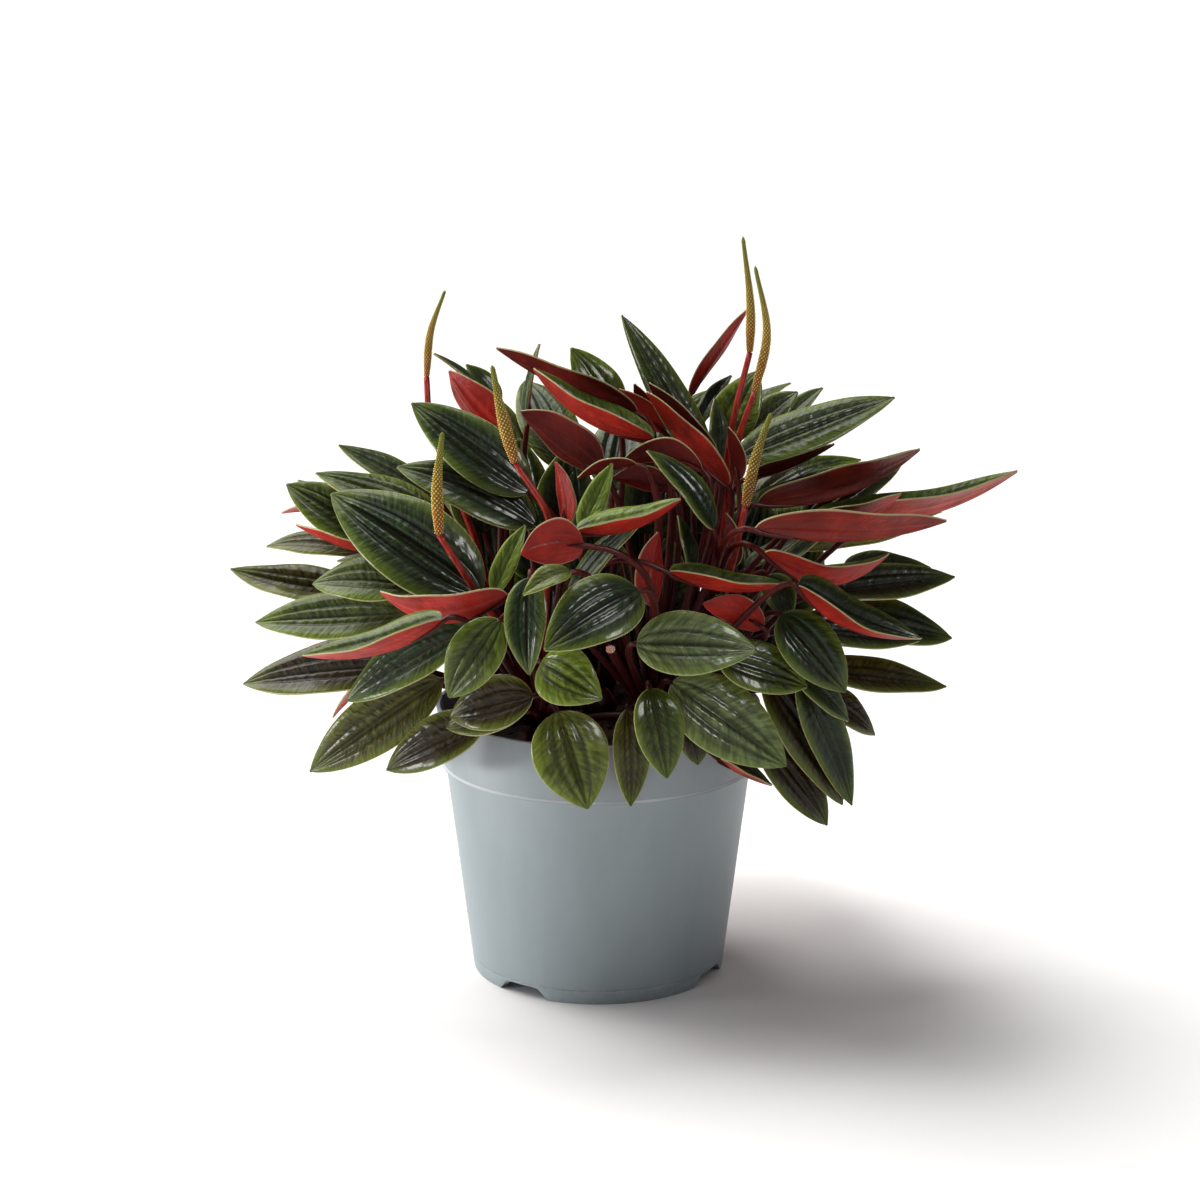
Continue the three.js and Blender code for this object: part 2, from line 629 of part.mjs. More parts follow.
function rearLeaves() {
  const draw = seededDraws(REAR_SEED);
  const leaves = [];
  REAR_TIERS.forEach((tier, level) => {
    const step = (REAR_SPAN[1] - REAR_SPAN[0]) / tier.count;
    const stagger = REAR_STAGGER[level % REAR_STAGGER.length];
    for (let index = 0; index < tier.count; index += 1) {
      const turned = REAR_SPAN[0] + step * (index + stagger);
      const heading = radians(turned + draw() * REAR_LEAF.headingDraw);
      const lift = draw() * REAR_LEAF.heightDraw;
      const [along, side] = [Math.cos(heading) * REAR_NARROW, Math.sin(heading)];
      const foot = vec(along * tier.footRadius, side * tier.footRadius, tier.footHeight + lift);
      const tip = vec(along * tier.tipRadius, side * tier.tipRadius, tier.tipHeight + lift);
      const width = REAR_LEAF.width + draw() * REAR_LEAF.widthDraw;
      const roll = radians(draw() * REAR_LEAF.rollDraw);
      const outward = vec(along, side, 0);
      const leaf = leafBody(foot, tip, UP, outward, width, roll, radians(REAR_LEAF.fold), REAR_LEAF.bow);
      leaves.push({ ...leaf, plain: true, spare: true });
    }
  });
  return leaves;
}

// ---------------------------------------------------------------- crowns and spikes

function crownStem(name) {
  const { radius, foot, shoulder, neck, top, peak, knob, topRadius, sides } = CROWN;
  const profile = [[0, foot], [radius, foot], [radius, shoulder], [knob, neck], [topRadius, top], [0, peak]];
  return manifoldOf(turned(profile, sides).translate(...CROWNS[name], 0));
}

function flowerStalkPath([crown, , , bend, joint, pass]) {
  const [bendPoint, jointPoint, passPoint] = [bend, joint, pass].map(place);
  const { head } = crownHead(crown, passPoint);
  const start = jointPoint.clone().sub(bendPoint).setLength(SPIKE.jointGap).add(jointPoint);
  const middle = passPoint.clone().lerp(head, 0.5).addScaledVector(UP, FLOWER_STALK.lift);
  return new THREE.CatmullRomCurve3([start, passPoint, middle, head]).getPoints(FLOWER_STALK.steps);
}

function flowerStalkSolid(spike) {
  const path = flowerStalkPath(spike);
  const { radius, footRadius, steps, sides } = FLOWER_STALK;
  const radii = path.map((_, step) => THREE.MathUtils.lerp(radius, footRadius, step / steps));
  return manifoldOf(skinned(tubeRings(path, radii, sides)));
}

function flowerSpikePath([, , tip, bend, joint]) {
  return new THREE.CatmullRomCurve3([joint, bend, tip].map(place)).getPoints(SPIKE.rings);
}

function flowerSpikeSolid(spike) {
  const path = flowerSpikePath(spike);
  const radii = path.map((_, step) => spikeRadius(step / SPIKE.rings) * spike[1]);
  const relief = (step, corner) => 1 + SPIKE.relief * ((step + corner) % 2 ? 1 : -1);
  const rings = tubeRings(path, radii, SPIKE.sides, relief);
  rings.pop();
  return manifoldOf(skinned(rings, path.at(-1)));
}

function spikeRadius(t) {
  const taper = THREE.MathUtils.lerp(SPIKE.fullRadius, SPIKE.tipRadius, THREE.MathUtils.smoothstep(t, 0.3, 1));
  return Math.min(taper, THREE.MathUtils.lerp(SPIKE.baseRadius, SPIKE.fullRadius, t / SPIKE.swell));
}

// ---------------------------------------------------------------- pot and potting mix

function outerRadius(height) {
  const { footRadius, bandRadius, bandStep, bandBottom } = POT;
  return THREE.MathUtils.mapLinear(height, 0, bandBottom, footRadius, bandRadius - bandStep);
}

function bandOuterRadius(height) {
  const { bandRadius, rimRadius, bandBottom } = POT;
  return THREE.MathUtils.mapLinear(height, bandBottom, POT.height, bandRadius, rimRadius);
}

// The hollow's outline from the rim down to the middle of the floor, kept in by a gap.
function hollowOutline(top, inset) {
  const { wall, bandBottom, channelHeight, discRadius, floor } = POT;
  const floorTop = channelHeight + floor + inset;
  return [
    [bandOuterRadius(top) - wall - inset, top],
    [bandOuterRadius(bandBottom) - wall - inset, bandBottom],
    [outerRadius(bandBottom) - wall - inset, bandBottom - 1.5],
    [outerRadius(floorTop) - wall - inset, floorTop],
    [discRadius + 0.5, floorTop],
    [discRadius - 2, floor + inset],
    [0, floor + inset],
  ];
}

function potSolid() {
  const { height, rimRadius, footRadius, bandBottom, bandRadius, channelHeight, discRadius, sides } = POT;
  const profile = [
    [0, 0],
    [discRadius, 0],
    [discRadius + 2, channelHeight],
    [footRadius - 3, channelHeight],
    [footRadius - 2.2, 0],
    [footRadius, 0],
    [outerRadius(bandBottom), bandBottom],
    [bandRadius, bandBottom],
    [rimRadius, height],
    ...hollowOutline(height, 0),
  ];
  return manifoldOf(turned(profile, sides)).subtract(footNotches()).subtract(drainHoles());
}

function footNotches() {
  const { headings, width, slant, height } = NOTCH;
  const outline = [[-width / 2, -1], [width / 2, -1], [width / 2 - slant, height], [slant - width / 2, height]];
  const shape = new THREE.Shape(outline.map(([x, y]) => new THREE.Vector2(x, y)));
  const cutters = headings.map((heading) => {
    const bar = new THREE.ExtrudeGeometry(shape, { depth: 8, bevelEnabled: false });
    bar.rotateX(Math.PI / 2).translate(0, -(POT.footRadius - 5), 0).rotateZ(radians(heading));
    return manifoldOf(bar);
  });
  return wasm.Manifold.union(cutters);
}

function drainHoles() {
  const cutters = [];
  for (let index = 0; index < DRAIN.count; index += 1) {
    const drill = new THREE.CylinderGeometry(DRAIN.radius, DRAIN.radius, 4, DRAIN.sides).rotateX(Math.PI / 2);
    drill.translate(DRAIN.circle, 0, POT.channelHeight + POT.floor / 2);
    cutters.push(manifoldOf(drill.rotateZ((2 * Math.PI * index) / DRAIN.count)));
  }
  return wasm.Manifold.union(cutters);
}

function mixSurface(x, y) {
  const away = Math.hypot(x, y) / POT.rimRadius;
  const lumps = Math.sin(x * 0.31 + 1.3) * Math.cos(y * 0.27 - 0.4) + 0.6 * Math.sin(x * 0.53 - y * 0.61);
  return MIX.top + MIX.mound * (1 - away * away) + MIX.lump * lumps * (1 - away ** 6);
}

function mixSolid() {
  const wallSide = hollowOutline(MIX.top, GAP);
  const rings = [...MIX.rings].reverse().map((radius) => [radius, MIX.top]);
  const profile = [...wallSide.reverse(), ...rings, [0, MIX.top]];
  const bed = turned(profile, POT.sides);
  const points = bed.attributes.position;
  for (let index = 0; index < points.count; index += 1) {
    if (points.getZ(index) >= MIX.top) {
      points.setZ(index, mixSurface(points.getX(index), points.getY(index)));
    }
  }
  return Object.keys(CROWNS).reduce((mix, name) => mix.subtract(crownHole(name)), manifoldOf(bed));
}

function crownHole(name) {
  const { radius, foot, sides } = CROWN;
  const inner = radius + GAP / Math.cos(Math.PI / sides);
  const drill = turned([[0, foot - GAP], [inner, foot - GAP], [inner, foot + 30], [0, foot + 30]], sides);
  return manifoldOf(drill.translate(...CROWNS[name], 0));
}

// ---------------------------------------------------------------- assembly

const FINISHES = {
  pot: { color: 0x8f9ba4, roughness: 0.55 },
  mix: { color: 0x2a1d15, roughness: 1 },
  leaf: { color: 0x3f5a2c, roughness: 0.4 },
  spike: { color: 0xb08a3a, roughness: 0.7 },
};

function addNode(group, name, manifold, finish) {
  const material = new THREE.MeshStandardMaterial(FINISHES[finish]);
  material.name = finish;
  const mesh = new THREE.Mesh(geometryOf(manifold), material);
  mesh.name = name;
  group.add(mesh);
}

function crownSolid(name, leaves) {
  const parts = [crownStem(name)];
  for (const leaf of leaves.filter((each) => each.crown === name)) {
    parts.push(leafSolid(leaf));
  }
  for (const spike of FLOWER_SPIKES.filter(([crown]) => crown === name)) {
    parts.push(flowerStalkSolid(spike));
  }
  return outerBody(wasm.Manifold.union(parts));
}

// The largest closed surface: pockets shut in between crossing stalks are left out.
function outerBody(manifold) {
  return manifold.decompose().reduce((a, b) => (a.volume() > b.volume() ? a : b));
}

function buildPart() {
  const part = new THREE.Group();
  part.name = "ripple_peperomia_in_pot";
  const leaves = fittedLeaves([...innerLeaves(), ...rearLeaves(), ...LEAVES_IN_VIEW.map(leafInView)]);
  addNode(part, "pot", potSolid(), "pot");
  addNode(part, "potting_mix", mixSolid(), "mix");
  for (const name of Object.keys(CROWNS)) {
    addNode(part, `crown_${name}`, crownSolid(name, leaves), "leaf");
  }
  FLOWER_SPIKES.forEach((spike, index) => {
    addNode(part, `flower_spike_${index + 1}`, flowerSpikeSolid(spike), "spike");
  });
  return part;
}

export default buildPart();
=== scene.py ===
"""Ripple peperomia in a tapered nursery pot.

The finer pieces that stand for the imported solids: a moulded pot, a bed of potting mix,
ten crowns of ridged leaves on red stalks, and six granular flower spikes. Classes hold
their sizes in millimetres; meshes are in metres.
"""
import logging
import math
from collections.abc import Callable, Iterator, Sequence
from dataclasses import dataclass, field, replace
from enum import Enum
from functools import cached_property

import bmesh
import bpy
import numpy as np
from mathutils import Matrix, Vector, noise


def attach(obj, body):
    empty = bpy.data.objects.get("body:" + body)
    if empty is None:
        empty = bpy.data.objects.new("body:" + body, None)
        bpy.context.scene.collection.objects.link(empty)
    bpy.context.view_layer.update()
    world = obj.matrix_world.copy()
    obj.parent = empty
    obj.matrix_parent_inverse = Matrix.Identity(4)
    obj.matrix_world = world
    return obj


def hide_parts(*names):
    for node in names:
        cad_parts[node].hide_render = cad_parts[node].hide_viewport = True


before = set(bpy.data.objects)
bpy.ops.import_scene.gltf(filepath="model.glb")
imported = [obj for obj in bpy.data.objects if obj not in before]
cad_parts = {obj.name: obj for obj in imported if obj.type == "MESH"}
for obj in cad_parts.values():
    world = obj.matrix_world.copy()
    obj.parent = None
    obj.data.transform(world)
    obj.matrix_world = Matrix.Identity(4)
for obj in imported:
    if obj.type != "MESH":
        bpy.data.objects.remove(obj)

log = logging.getLogger("ripple_peperomia")

MM = 0.001
UP = np.array([0.0, 0.0, 1.0])
VIEWPOINT = np.array([0.66, -1000.0, 376.8])  # the clump is laid out as seen from here
GAP = 0.3  # clearance between pieces that touch
SAME_SPOT = 1e-6  # vertices nearer than this are one, in metres
VEINS = (0.0, 0.37, 0.7)  # where the veins run, from the midrib towards the margin
DRAW_FACTOR, DRAW_MODULUS = 16807, 2147483647

Rgb = tuple[float, float, float]
Point = tuple[float, float, float]
Array = np.ndarray
Socket = bpy.types.NodeSocket


# ------------------------------------------------------------------ colours of leaves


class Top(Enum):
    """Colour of a leaf's upper side between its veins."""

    GREEN = "435213"
    DARK = "253514"
    LIGHT = "667a24"
    GREY = "42502f"
    OLIVE = "4a4a18"
    BROWN = "352c12"
    YOUNG = "66702a"
    # A pale grey-green for two front leaves, lightened to paint their broad sheen.
    PALE_SHEEN = "6c7c4c"


class Under(Enum):
    """Colour of a leaf's underside."""

    RED = "a8281c"
    DEEP = "661a14"
    PINK = "a8443a"
    MAROON = "80271e"


class Stem(Enum):
    """Reds of the stalks."""

    # Dark maroon for leaf stalks and stems: their own red, darkened as painted shade inside the clump.
    LEAF = "54140e"
    FLOWER = "a62d20"


def linear(colour: str) -> Rgb:
    """Gives the linear light of a colour.

    Args:
        colour: six hexadecimal digits of an sRGB colour.

    Returns:
        Red, green and blue from 0 to 1.
    """
    values = [int(colour[at : at + 2], 16) / 255 for at in (0, 2, 4)]
    return tuple(v / 12.92 if v <= 0.04045 else ((v + 0.055) / 1.055) ** 2.4 for v in values)


# ------------------------------------------------------------------ layout of the clump


@dataclass(frozen=True)
class LeafRow:
    """One leaf as laid out from the viewpoint.

    Places are (across, up, near): across and up on the upright plane through the pot's
    axis, near the distance in front of it along the line of sight. Roll turns the blade
    from facing the viewpoint (0) through edge-on (90, top side up) to its underside (180).
    Fold is how far each half tilts up. Bow is the rise of the middle, of the length.
    """

    foot: Point
    tip: Point
    width: float
    roll: float
    fold: float
    bow: float
    top: Top
    under: Under = Under.RED


# From the farthest leaf to the nearest.
LEAVES_IN_VIEW = [
    LeafRow((7, 206, 0), (-9.8, 232.6, -4), 17, 20, 12, 0.06, Top.LIGHT),
    LeafRow((33, 216, -4), (54, 247, -8), 10, 118, 10, 0, Top.GREEN),
    LeafRow((37, 205, -2), (48, 222.5, -6), 10, 50, 15, 0.05, Top.DARK),
    LeafRow((45, 198, -2), (57.5, 224, -6), 18, 15, 12, 0.05, Top.LIGHT),
    LeafRow((65, 203, -4), (81, 218, -6), 9, 40, 15, 0.05, Top.GREEN),
    LeafRow((56, 202, 0), (72, 216.5, -3), 13, 30, 15, 0.05, Top.GREEN),
    LeafRow((-36, 212, -2), (-47.5, 226.5, -6), 10, 35, 12, 0.05, Top.GREEN),
    LeafRow((-42, 217, 0), (-59, 230.4, -3), 6, 70, 15, 0.03, Top.GREY),
    LeafRow((-26, 204, 0), (-21, 234, -6), 12, 80, 10, 0.03, Top.GREY),
    LeafRow((40, 188, 6), (8.5, 244, 0), 16, 30, 14, 0, Top.GREEN),
    LeafRow((19, 205, 2), (13, 219.5, 0), 7, 150, 15, 0, Top.GREEN, Under.DEEP),
    LeafRow((24, 202, 4), (7.5, 217.5, 2), 9, 150, 15, 0, Top.GREEN),
    LeafRow((14, 209, 8), (-36, 232.3, 2), 22, 102, 28, -0.05, Top.GREEN, Under.DEEP),
    LeafRow((43, 190, 12), (18.5, 219.5, 8), 14, 128, 16, -0.03, Top.GREEN, Under.DEEP),
    LeafRow((42, 189, 12), (42, 214, 6), 10, 40, 15, 0.05, Top.GREY),
    LeafRow((47, 182, 18), (18, 216, 14), 20, 112, 22, -0.05, Top.GREEN),
    LeafRow((50, 191.5, 10), (106.3, 214.2, 0), 20, 38, 12, 0, Top.GREEN),
    LeafRow((54, 185, 14), (85.5, 197.5, 8), 13, 112, 14, -0.05, Top.GREEN, Under.DEEP),
    LeafRow((-33, 199, 6), (-53.5, 224, 2), 22, 128, 16, -0.08, Top.GREEN),
    LeafRow((20, 199, 20), (-22.5, 224.5, 12), 25, 80, 36, -0.12, Top.GREEN),
    LeafRow((1, 187, 28), (-28, 209.5, 22), 26, 124, 18, -0.03, Top.GREEN, Under.DEEP),
    LeafRow((-59, 177, 12), (-94, 197, 2), 16, 50, 12, 0, Top.GREY),
    LeafRow((-57, 168, 24), (-102, 186.5, 6), 20, 50, 12, 0.02, Top.GREEN),
    LeafRow((-84, 167, 14), (-109, 184, 0), 9, 55, 12, 0.05, Top.GREY),
    LeafRow((-82, 163, 18), (-113, 182.5, 4), 19, 20, 12, 0.02, Top.GREEN),
    LeafRow((-23, 167, 36), (-73, 189, 26), 22, 35, 12, 0.08, Top.DARK),
    LeafRow((-25, 180, 34), (-67.3, 212.4, 18), 21.5, 8, 10, 0.06, Top.DARK),
    LeafRow((-85, 157, 16), (-121, 159.5, 2), 15, 50, 14, 0.06, Top.OLIVE),
    LeafRow((-80, 157, 24), (-109.5, 167.5, 10), 13, 92, 18, -0.04, Top.GREEN),
    LeafRow((-88, 142, 20), (-134.5, 151, 4), 22, 52, 14, -0.05, Top.OLIVE),
    LeafRow((-72, 151, 26), (-95, 154, 12), 9, 50, 14, 0.06, Top.GREEN),
    LeafRow((-70, 134, 34), (-125, 131, 10), 23, 38, 14, 0, Top.GREEN),
    LeafRow((-66, 144, 36), (-103.5, 145.5, 18), 21, 38, 14, 0.06, Top.GREEN),
    LeafRow((-43, 142, 58), (-97, 179, 34), 31, 12, 8, 0.07, Top.DARK),
    LeafRow((-66, 133, 36), (-82, 135, 26), 7, 60, 14, 0.06, Top.DARK),
    LeafRow((-38, 142, 60), (-26.5, 167.5, 56), 10, 30, 22, 0, Top.LIGHT),
    LeafRow((-33, 141, 70), (-79, 142.5, 54), 23, 102, 36, -0.2, Top.GREEN),
    LeafRow((-73, 114, 36), (-131, 107.5, 12), 26, 42, 14, 0.02, Top.BROWN),
    LeafRow((-57, 132, 56), (-106.5, 119, 38), 23, 74, 34, -0.1, Top.GREEN),
    LeafRow((-58, 109, 36), (-107, 74, 18), 22.5, 10, 10, 0.05, Top.OLIVE),
    LeafRow((-48, 128, 65), (-93, 101, 47), 22, 35, 14, 0.03, Top.DARK),
    LeafRow((-42, 93, 54), (-78.5, 74.5, 38), 19, 22, 12, 0.06, Top.BROWN),
    LeafRow((-28, 97, 60), (-56, 91, 48), 16, 30, 12, 0.05, Top.BROWN),
    LeafRow((-24, 103, 64), (-54.5, 95, 52), 20, 18, 12, 0.06, Top.BROWN),
    LeafRow((-36, 132, 62), (-54.5, 103.5, 58), 19, 12, 12, 0.06, Top.GREEN),
    LeafRow((38, 188, 34), (7, 188, 32), 15, 125, 16, 0.22, Top.GREEN, Under.DEEP),
    LeafRow((26, 181, 32), (5, 185, 30), 12, 140, 16, 0.1, Top.GREEN, Under.DEEP),
    LeafRow((14, 190, 34), (-7, 185, 32), 9, 118, 16, 0.06, Top.GREEN, Under.DEEP),
    LeafRow((42, 166, 40), (18, 194.5, 34), 15, 52, 14, 0.08, Top.DARK),
    LeafRow((-12, 167, 46), (-15.5, 191, 42), 11, 125, 14, 0.05, Top.BROWN),
    LeafRow((-6, 166, 52), (5, 190, 48), 10, 28, 20, -0.04, Top.LIGHT),
    LeafRow((-10, 140, 62), (17, 170, 52), 15, 60, 14, 0.04, Top.DARK),
    LeafRow((-8, 165, 64), (29.5, 177, 62), 20, 76, 34, -0.12, Top.LIGHT),
    LeafRow((-5, 160, 74), (-28, 157, 78), 19, 148, 14, 0.12, Top.GREEN),
    LeafRow((-25, 148, 70), (-25.5, 112, 80), 16, 25, 14, 0.05, Top.DARK),
    LeafRow((-10, 150, 72), (-27, 141.5, 78), 10, 40, 22, 0.08, Top.YOUNG),
    LeafRow((34, 150, 50), (29, 171, 46), 10, 60, 12, 0.04, Top.DARK),
    LeafRow((20, 137, 62), (22, 165, 56), 14, 135, 16, 0.05, Top.GREEN),
    LeafRow((15, 143, 74), (-19, 121, 90), 25, 22, 10, 0.08, Top.DARK),
    LeafRow((62, 149, 50), (70.5, 132.5, 54), 13, 25, 12, 0.05, Top.DARK),
    LeafRow((26, 150, 70), (69, 145.5, 64), 19, 76, 34, -0.1, Top.GREEN),
    LeafRow((56, 132, 58), (42.5, 141, 56), 8, 140, 12, 0.05, Top.GREEN, Under.DEEP),
    LeafRow((61, 129, 62), (38.5, 138, 64), 13, 148, 14, 0.12, Top.GREEN),
    LeafRow((51, 184, 26), (47, 203.5, 22), 9, 130, 14, 0.03, Top.GREEN, Under.DEEP),
    LeafRow((50, 152, 40), (46.5, 172, 38), 9, 125, 14, 0.03, Top.GREEN, Under.DEEP),
    LeafRow((75, 168, 14), (110, 190, 4), 22, 42, 12, 0.05, Top.GREY),
    LeafRow((58, 175.5, 28), (116.5, 195.5, 10), 30, 87, 40, -0.1, Top.GREEN, Under.MAROON),
    LeafRow((80, 171, 30), (151.5, 187.3, 8), 26, 80, 36, -0.1, Top.GREEN, Under.PINK),
    LeafRow((77, 169, 42), (109.5, 179, 26), 16, 104, 26, -0.12, Top.GREEN),
    LeafRow((98, 167, 16), (125, 172.5, 6), 9, 60, 12, 0, Top.DARK),
    LeafRow((66, 159, 8), (114, 165.5, -8), 17, 60, 14, -0.02, Top.OLIVE),
    LeafRow((57, 166, 46), (124.5, 169, 26), 27, 104, 30, -0.07, Top.GREY, Under.MAROON),
    LeafRow((54, 151, 10), (76, 164.5, 4), 12, 60, 14, 0, Top.GREY),
    LeafRow((68, 153, 40), (83, 164.5, 30), 8, 60, 14, 0, Top.GREY),
    LeafRow((90, 152, 18), (121.5, 151.5, 4), 13, 55, 12, 0.04, Top.DARK),
    LeafRow((82, 142, 28), (130, 148, 8), 21, 48, 14, 0, Top.DARK),
    LeafRow((60.5, 157, 60), (106, 156.8, 44), 23, 90, 34, -0.22, Top.GREEN),
    LeafRow((86, 131, 26), (130, 125, 8), 23, 42, 14, 0.04, Top.DARK),
    LeafRow((72, 129, 42), (118, 124, 28), 18, 40, 12, 0.02, Top.DARK),
    LeafRow((73, 145, 52), (117.5, 125.5, 36), 25, 66, 36, -0.13, Top.DARK),
    LeafRow((80, 112, 30), (128.5, 106.5, 8), 20, 50, 14, 0, Top.OLIVE),
    LeafRow((78, 104, 30), (102.5, 88, 18), 15, 40, 12, 0.08, Top.BROWN),
    LeafRow((59, 89, 40), (85.5, 53, 30), 18, 20, 12, 0.06, Top.BROWN),
    LeafRow((61, 111, 44), (91, 61, 34), 22, 30, 12, 0.06, Top.BROWN),
    LeafRow((74, 111, 44), (94.5, 61, 34), 17, 30, 12, 0.02, Top.DARK),
    LeafRow((72, 113, 46), (92.5, 93.5, 38), 12, 35, 12, 0.05, Top.DARK),
    LeafRow((67, 134, 60), (91.5, 104.5, 64), 20, 10, 10, 0.08, Top.DARK),
    LeafRow((45, 79, 54), (64.5, 68.5, 46), 11, 62, 38, -0.05, Top.BROWN, Under.PINK),
    LeafRow((44, 118, 62), (77, 106.5, 58), 19, 20, 12, 0.06, Top.GREEN),
    LeafRow((34, 97, 62), (37, 76.5, 64), 13, 10, 12, 0.05, Top.BROWN),
    LeafRow((14, 123, 70), (58, 120.5, 74), 23, 15, 8, 0.07, Top.PALE_SHEEN),
    LeafRow((27, 108, 66), (70, 76, 66), 26, 8, 8, 0.06, Top.PALE_SHEEN),
    LeafRow((11, 98, 64), (12, 60.5, 64), 14, 18, 12, 0.05, Top.OLIVE),
    LeafRow((19, 106, 66), (25.5, 71.5, 70), 18, 14, 12, 0.06, Top.GREEN),
    LeafRow((-21, 116, 72), (1.3, 101.8, 84), 21, 0, 8, 0.1, Top.LIGHT),
    LeafRow((-15, 97, 62), (-4, 59.5, 68), 27, 0, 8, 0.06, Top.YOUNG),
]


@dataclass(frozen=True)
class RearTier:
    """A tier of leaves that fans out behind the clump; radii and heights of their ends."""

    count: int
    foot_radius: float
    foot_height: float
    tip_radius: float
    tip_height: float


@dataclass(frozen=True)
class RearFan:
    """The rule that lays out the leaves at the rear, with seeded draws.

    Every second tier is staggered, so that its leaves stand between those of the last.
    """

    seed: int = 5
    span: tuple[float, float] = (16, 164)
    stagger: tuple[float, float] = (0.65, 0.35)
    narrow: float = 0.94
    width: float = 23
    width_draw: float = 3
    heading_draw: float = 3
    height_draw: float = 4
    roll_draw: float = 16
    fold: float = 12
    bow: float = 0.08
    tiers: tuple[RearTier, ...] = (
        RearTier(4, 12, 178, 46, 204),
        RearTier(6, 30, 156, 74, 170),
        RearTier(7, 36, 182, 74, 210),
        RearTier(8, 50, 168, 100, 184),
        RearTier(10, 66, 156, 120, 160),
        RearTier(11, 72, 134, 126, 124),
        RearTier(11, 69, 113, 116, 84),
    )

    def leaves(self) -> list["Leaf"]:
        """Lays the fan out.

        Returns:
            The leaves, tier by tier.
        """
        draw = seeded_draws(self.seed)
        tops = (Top.GREEN, Top.DARK, Top.GREY, Top.GREEN)
        leaves = []
        for level, tier in enumerate(self.tiers):
            step = (self.span[1] - self.span[0]) / tier.count
            for index in range(tier.count):
                turn = self.span[0] + step * (index + self.stagger[level % 2])
                heading = math.radians(turn + next(draw) * self.heading_draw)
                lift = next(draw) * self.height_draw
                out = np.array([math.cos(heading) * self.narrow, math.sin(heading), 0.0])
                foot = out * tier.foot_radius + UP * (tier.foot_height + lift)
                tip = out * tier.tip_radius + UP * (tier.tip_height + lift)
                width = self.width + next(draw) * self.width_draw
                roll = math.radians(next(draw) * self.roll_draw)
                top = tops[(index + level) % len(tops)]
                laid = Leaf.laid(foot, tip, UP, out, width, roll, math.radians(self.fold), self.bow, top)
                leaves.append(laid.as_spare())
        return leaves


@dataclass(frozen=True)
class InnerRows:
    """The rule that stands dark leaves up inside the clump, with seeded draws.

    Each row has the height of its stalk ends and half its spread across. Their dark tops and maroon
    undersides are painted shade for the clump's middle.
    """

    seed: int = 23
    rows: tuple[tuple[float, float], ...] = ((106, 72), (123, 76), (141, 68), (159, 52))
    count: int = 7
    stagger: tuple[float, float] = (0.75, 1.25)
    depth: float = 14
    rise: float = 33
    lean: float = 0.16
    width: float = 23
    draw: float = 4
    roll_draw: float = 16
    fold: float = 12
    bow: float = 0.06
    tilt: float = 0.35

    def leaves(self) -> list["Leaf"]:
        """Lays the rows out.

        Returns:
            The leaves, row by row.
        """
        draw = seeded_draws(self.seed)
        facing, push = np.array([0.0, -1.0, self.tilt]), np.array([0.0, 1.0, 0.0])
        leaves = []
        for row, (height, spread) in enumerate(self.rows):
            for index in range(self.count):
                across = spread * ((2 * index + self.stagger[row % 2]) / self.count - 1)
                x = across + next(draw) * self.draw
                y = self.depth + next(draw) * self.draw
                foot = np.array([x, y, height + abs(next(draw)) * self.draw])
                aside = across * self.lean + next(draw) * self.draw
                tip = foot + np.array([aside, abs(next(draw)) * self.draw, self.rise])
                roll = math.radians(next(draw) * self.roll_draw)
                fold = math.radians(self.fold)
                # Dark top and maroon underside: painted shade deep in the clump.
                laid = Leaf.laid(
                    foot, tip, facing, push, self.width, roll, fold, self.bow, Top.DARK, Under.MAROON
                )
                leaves.append(laid.as_spare())
        return leaves


def seeded_draws(seed: int) -> Iterator[float]:
    """Yields evenly spread draws from -1 to 1.

    Args:
        seed: where the sequence starts.

    Yields:
        The next draw.
    """
    state = seed
    while True:
        state = (state * DRAW_FACTOR) % DRAW_MODULUS
        yield 2 * state / DRAW_MODULUS - 1


# ------------------------------------------------------------------ points and paths


def length_of(vector: Array) -> float:
    """Gives the vector's length."""
    return math.sqrt(float(vector @ vector))


def unit(vector: Array) -> Array:
    """Gives the vector at a length of 1."""
    return vector / (length_of(vector) or 1.0)


def stations(count: int) -> Array:
    """Gives places from 0 to 1 in that many even steps."""
    return np.arange(count + 1) / count


def place(spot: Point) -> Array:
    """Turns a place of the layout into a point.

    Args:
        spot: across, up and near, as in LeafRow.

    Returns:
        The point in millimetres.
    """
    across, up, near = spot
    return (np.array([across, 0.0, up]) - VIEWPOINT) * (1 - near / -VIEWPOINT[1]) + VIEWPOINT


def bezier(ends: Array, steps: Array) -> Array:
    """Gives points of a cubic Bezier curve.

    Args:
        ends: its four control points.
        steps: places along it, from 0 to 1.

    Returns:
        One point a row.
    """
    t = steps[:, None]
    k = 1 - t
    return k**3 * ends[0] + 3 * k * k * t * ends[1] + 3 * k * t * t * ends[2] + t**3 * ends[3]


def smooth_through(points: list[Array], steps: Array) -> Array:
    """Gives points of a centripetal Catmull-Rom curve.

    Args:
        points: what the curve passes through.
        steps: places along it, from 0 to 1.

    Returns:
        One point a row.
    """
    through = [2 * points[0] - points[1], *points, 2 * points[-1] - points[-2]]
    found = []
    for step in steps:
        reached = step * (len(points) - 1)
        span = min(int(reached), len(points) - 2)
        t = reached - span
        p0, p1, p2, p3 = through[span : span + 4]
        d0, d1, d2 = (length_of(b - a) ** 0.5 for a, b in ((p0, p1), (p1, p2), (p2, p3)))
        leave = ((p1 - p0) / d0 - (p2 - p0) / (d0 + d1) + (p2 - p1) / d1) * d1
        reach = ((p2 - p1) / d1 - (p3 - p1) / (d1 + d2) + (p3 - p2) / d2) * d1
        square = -3 * p1 + 3 * p2 - 2 * leave - reach
        cube = 2 * p1 - 2 * p2 + leave + reach
        found.append(p1 + leave * t + square * t * t + cube * t**3)
    return np.array(found)


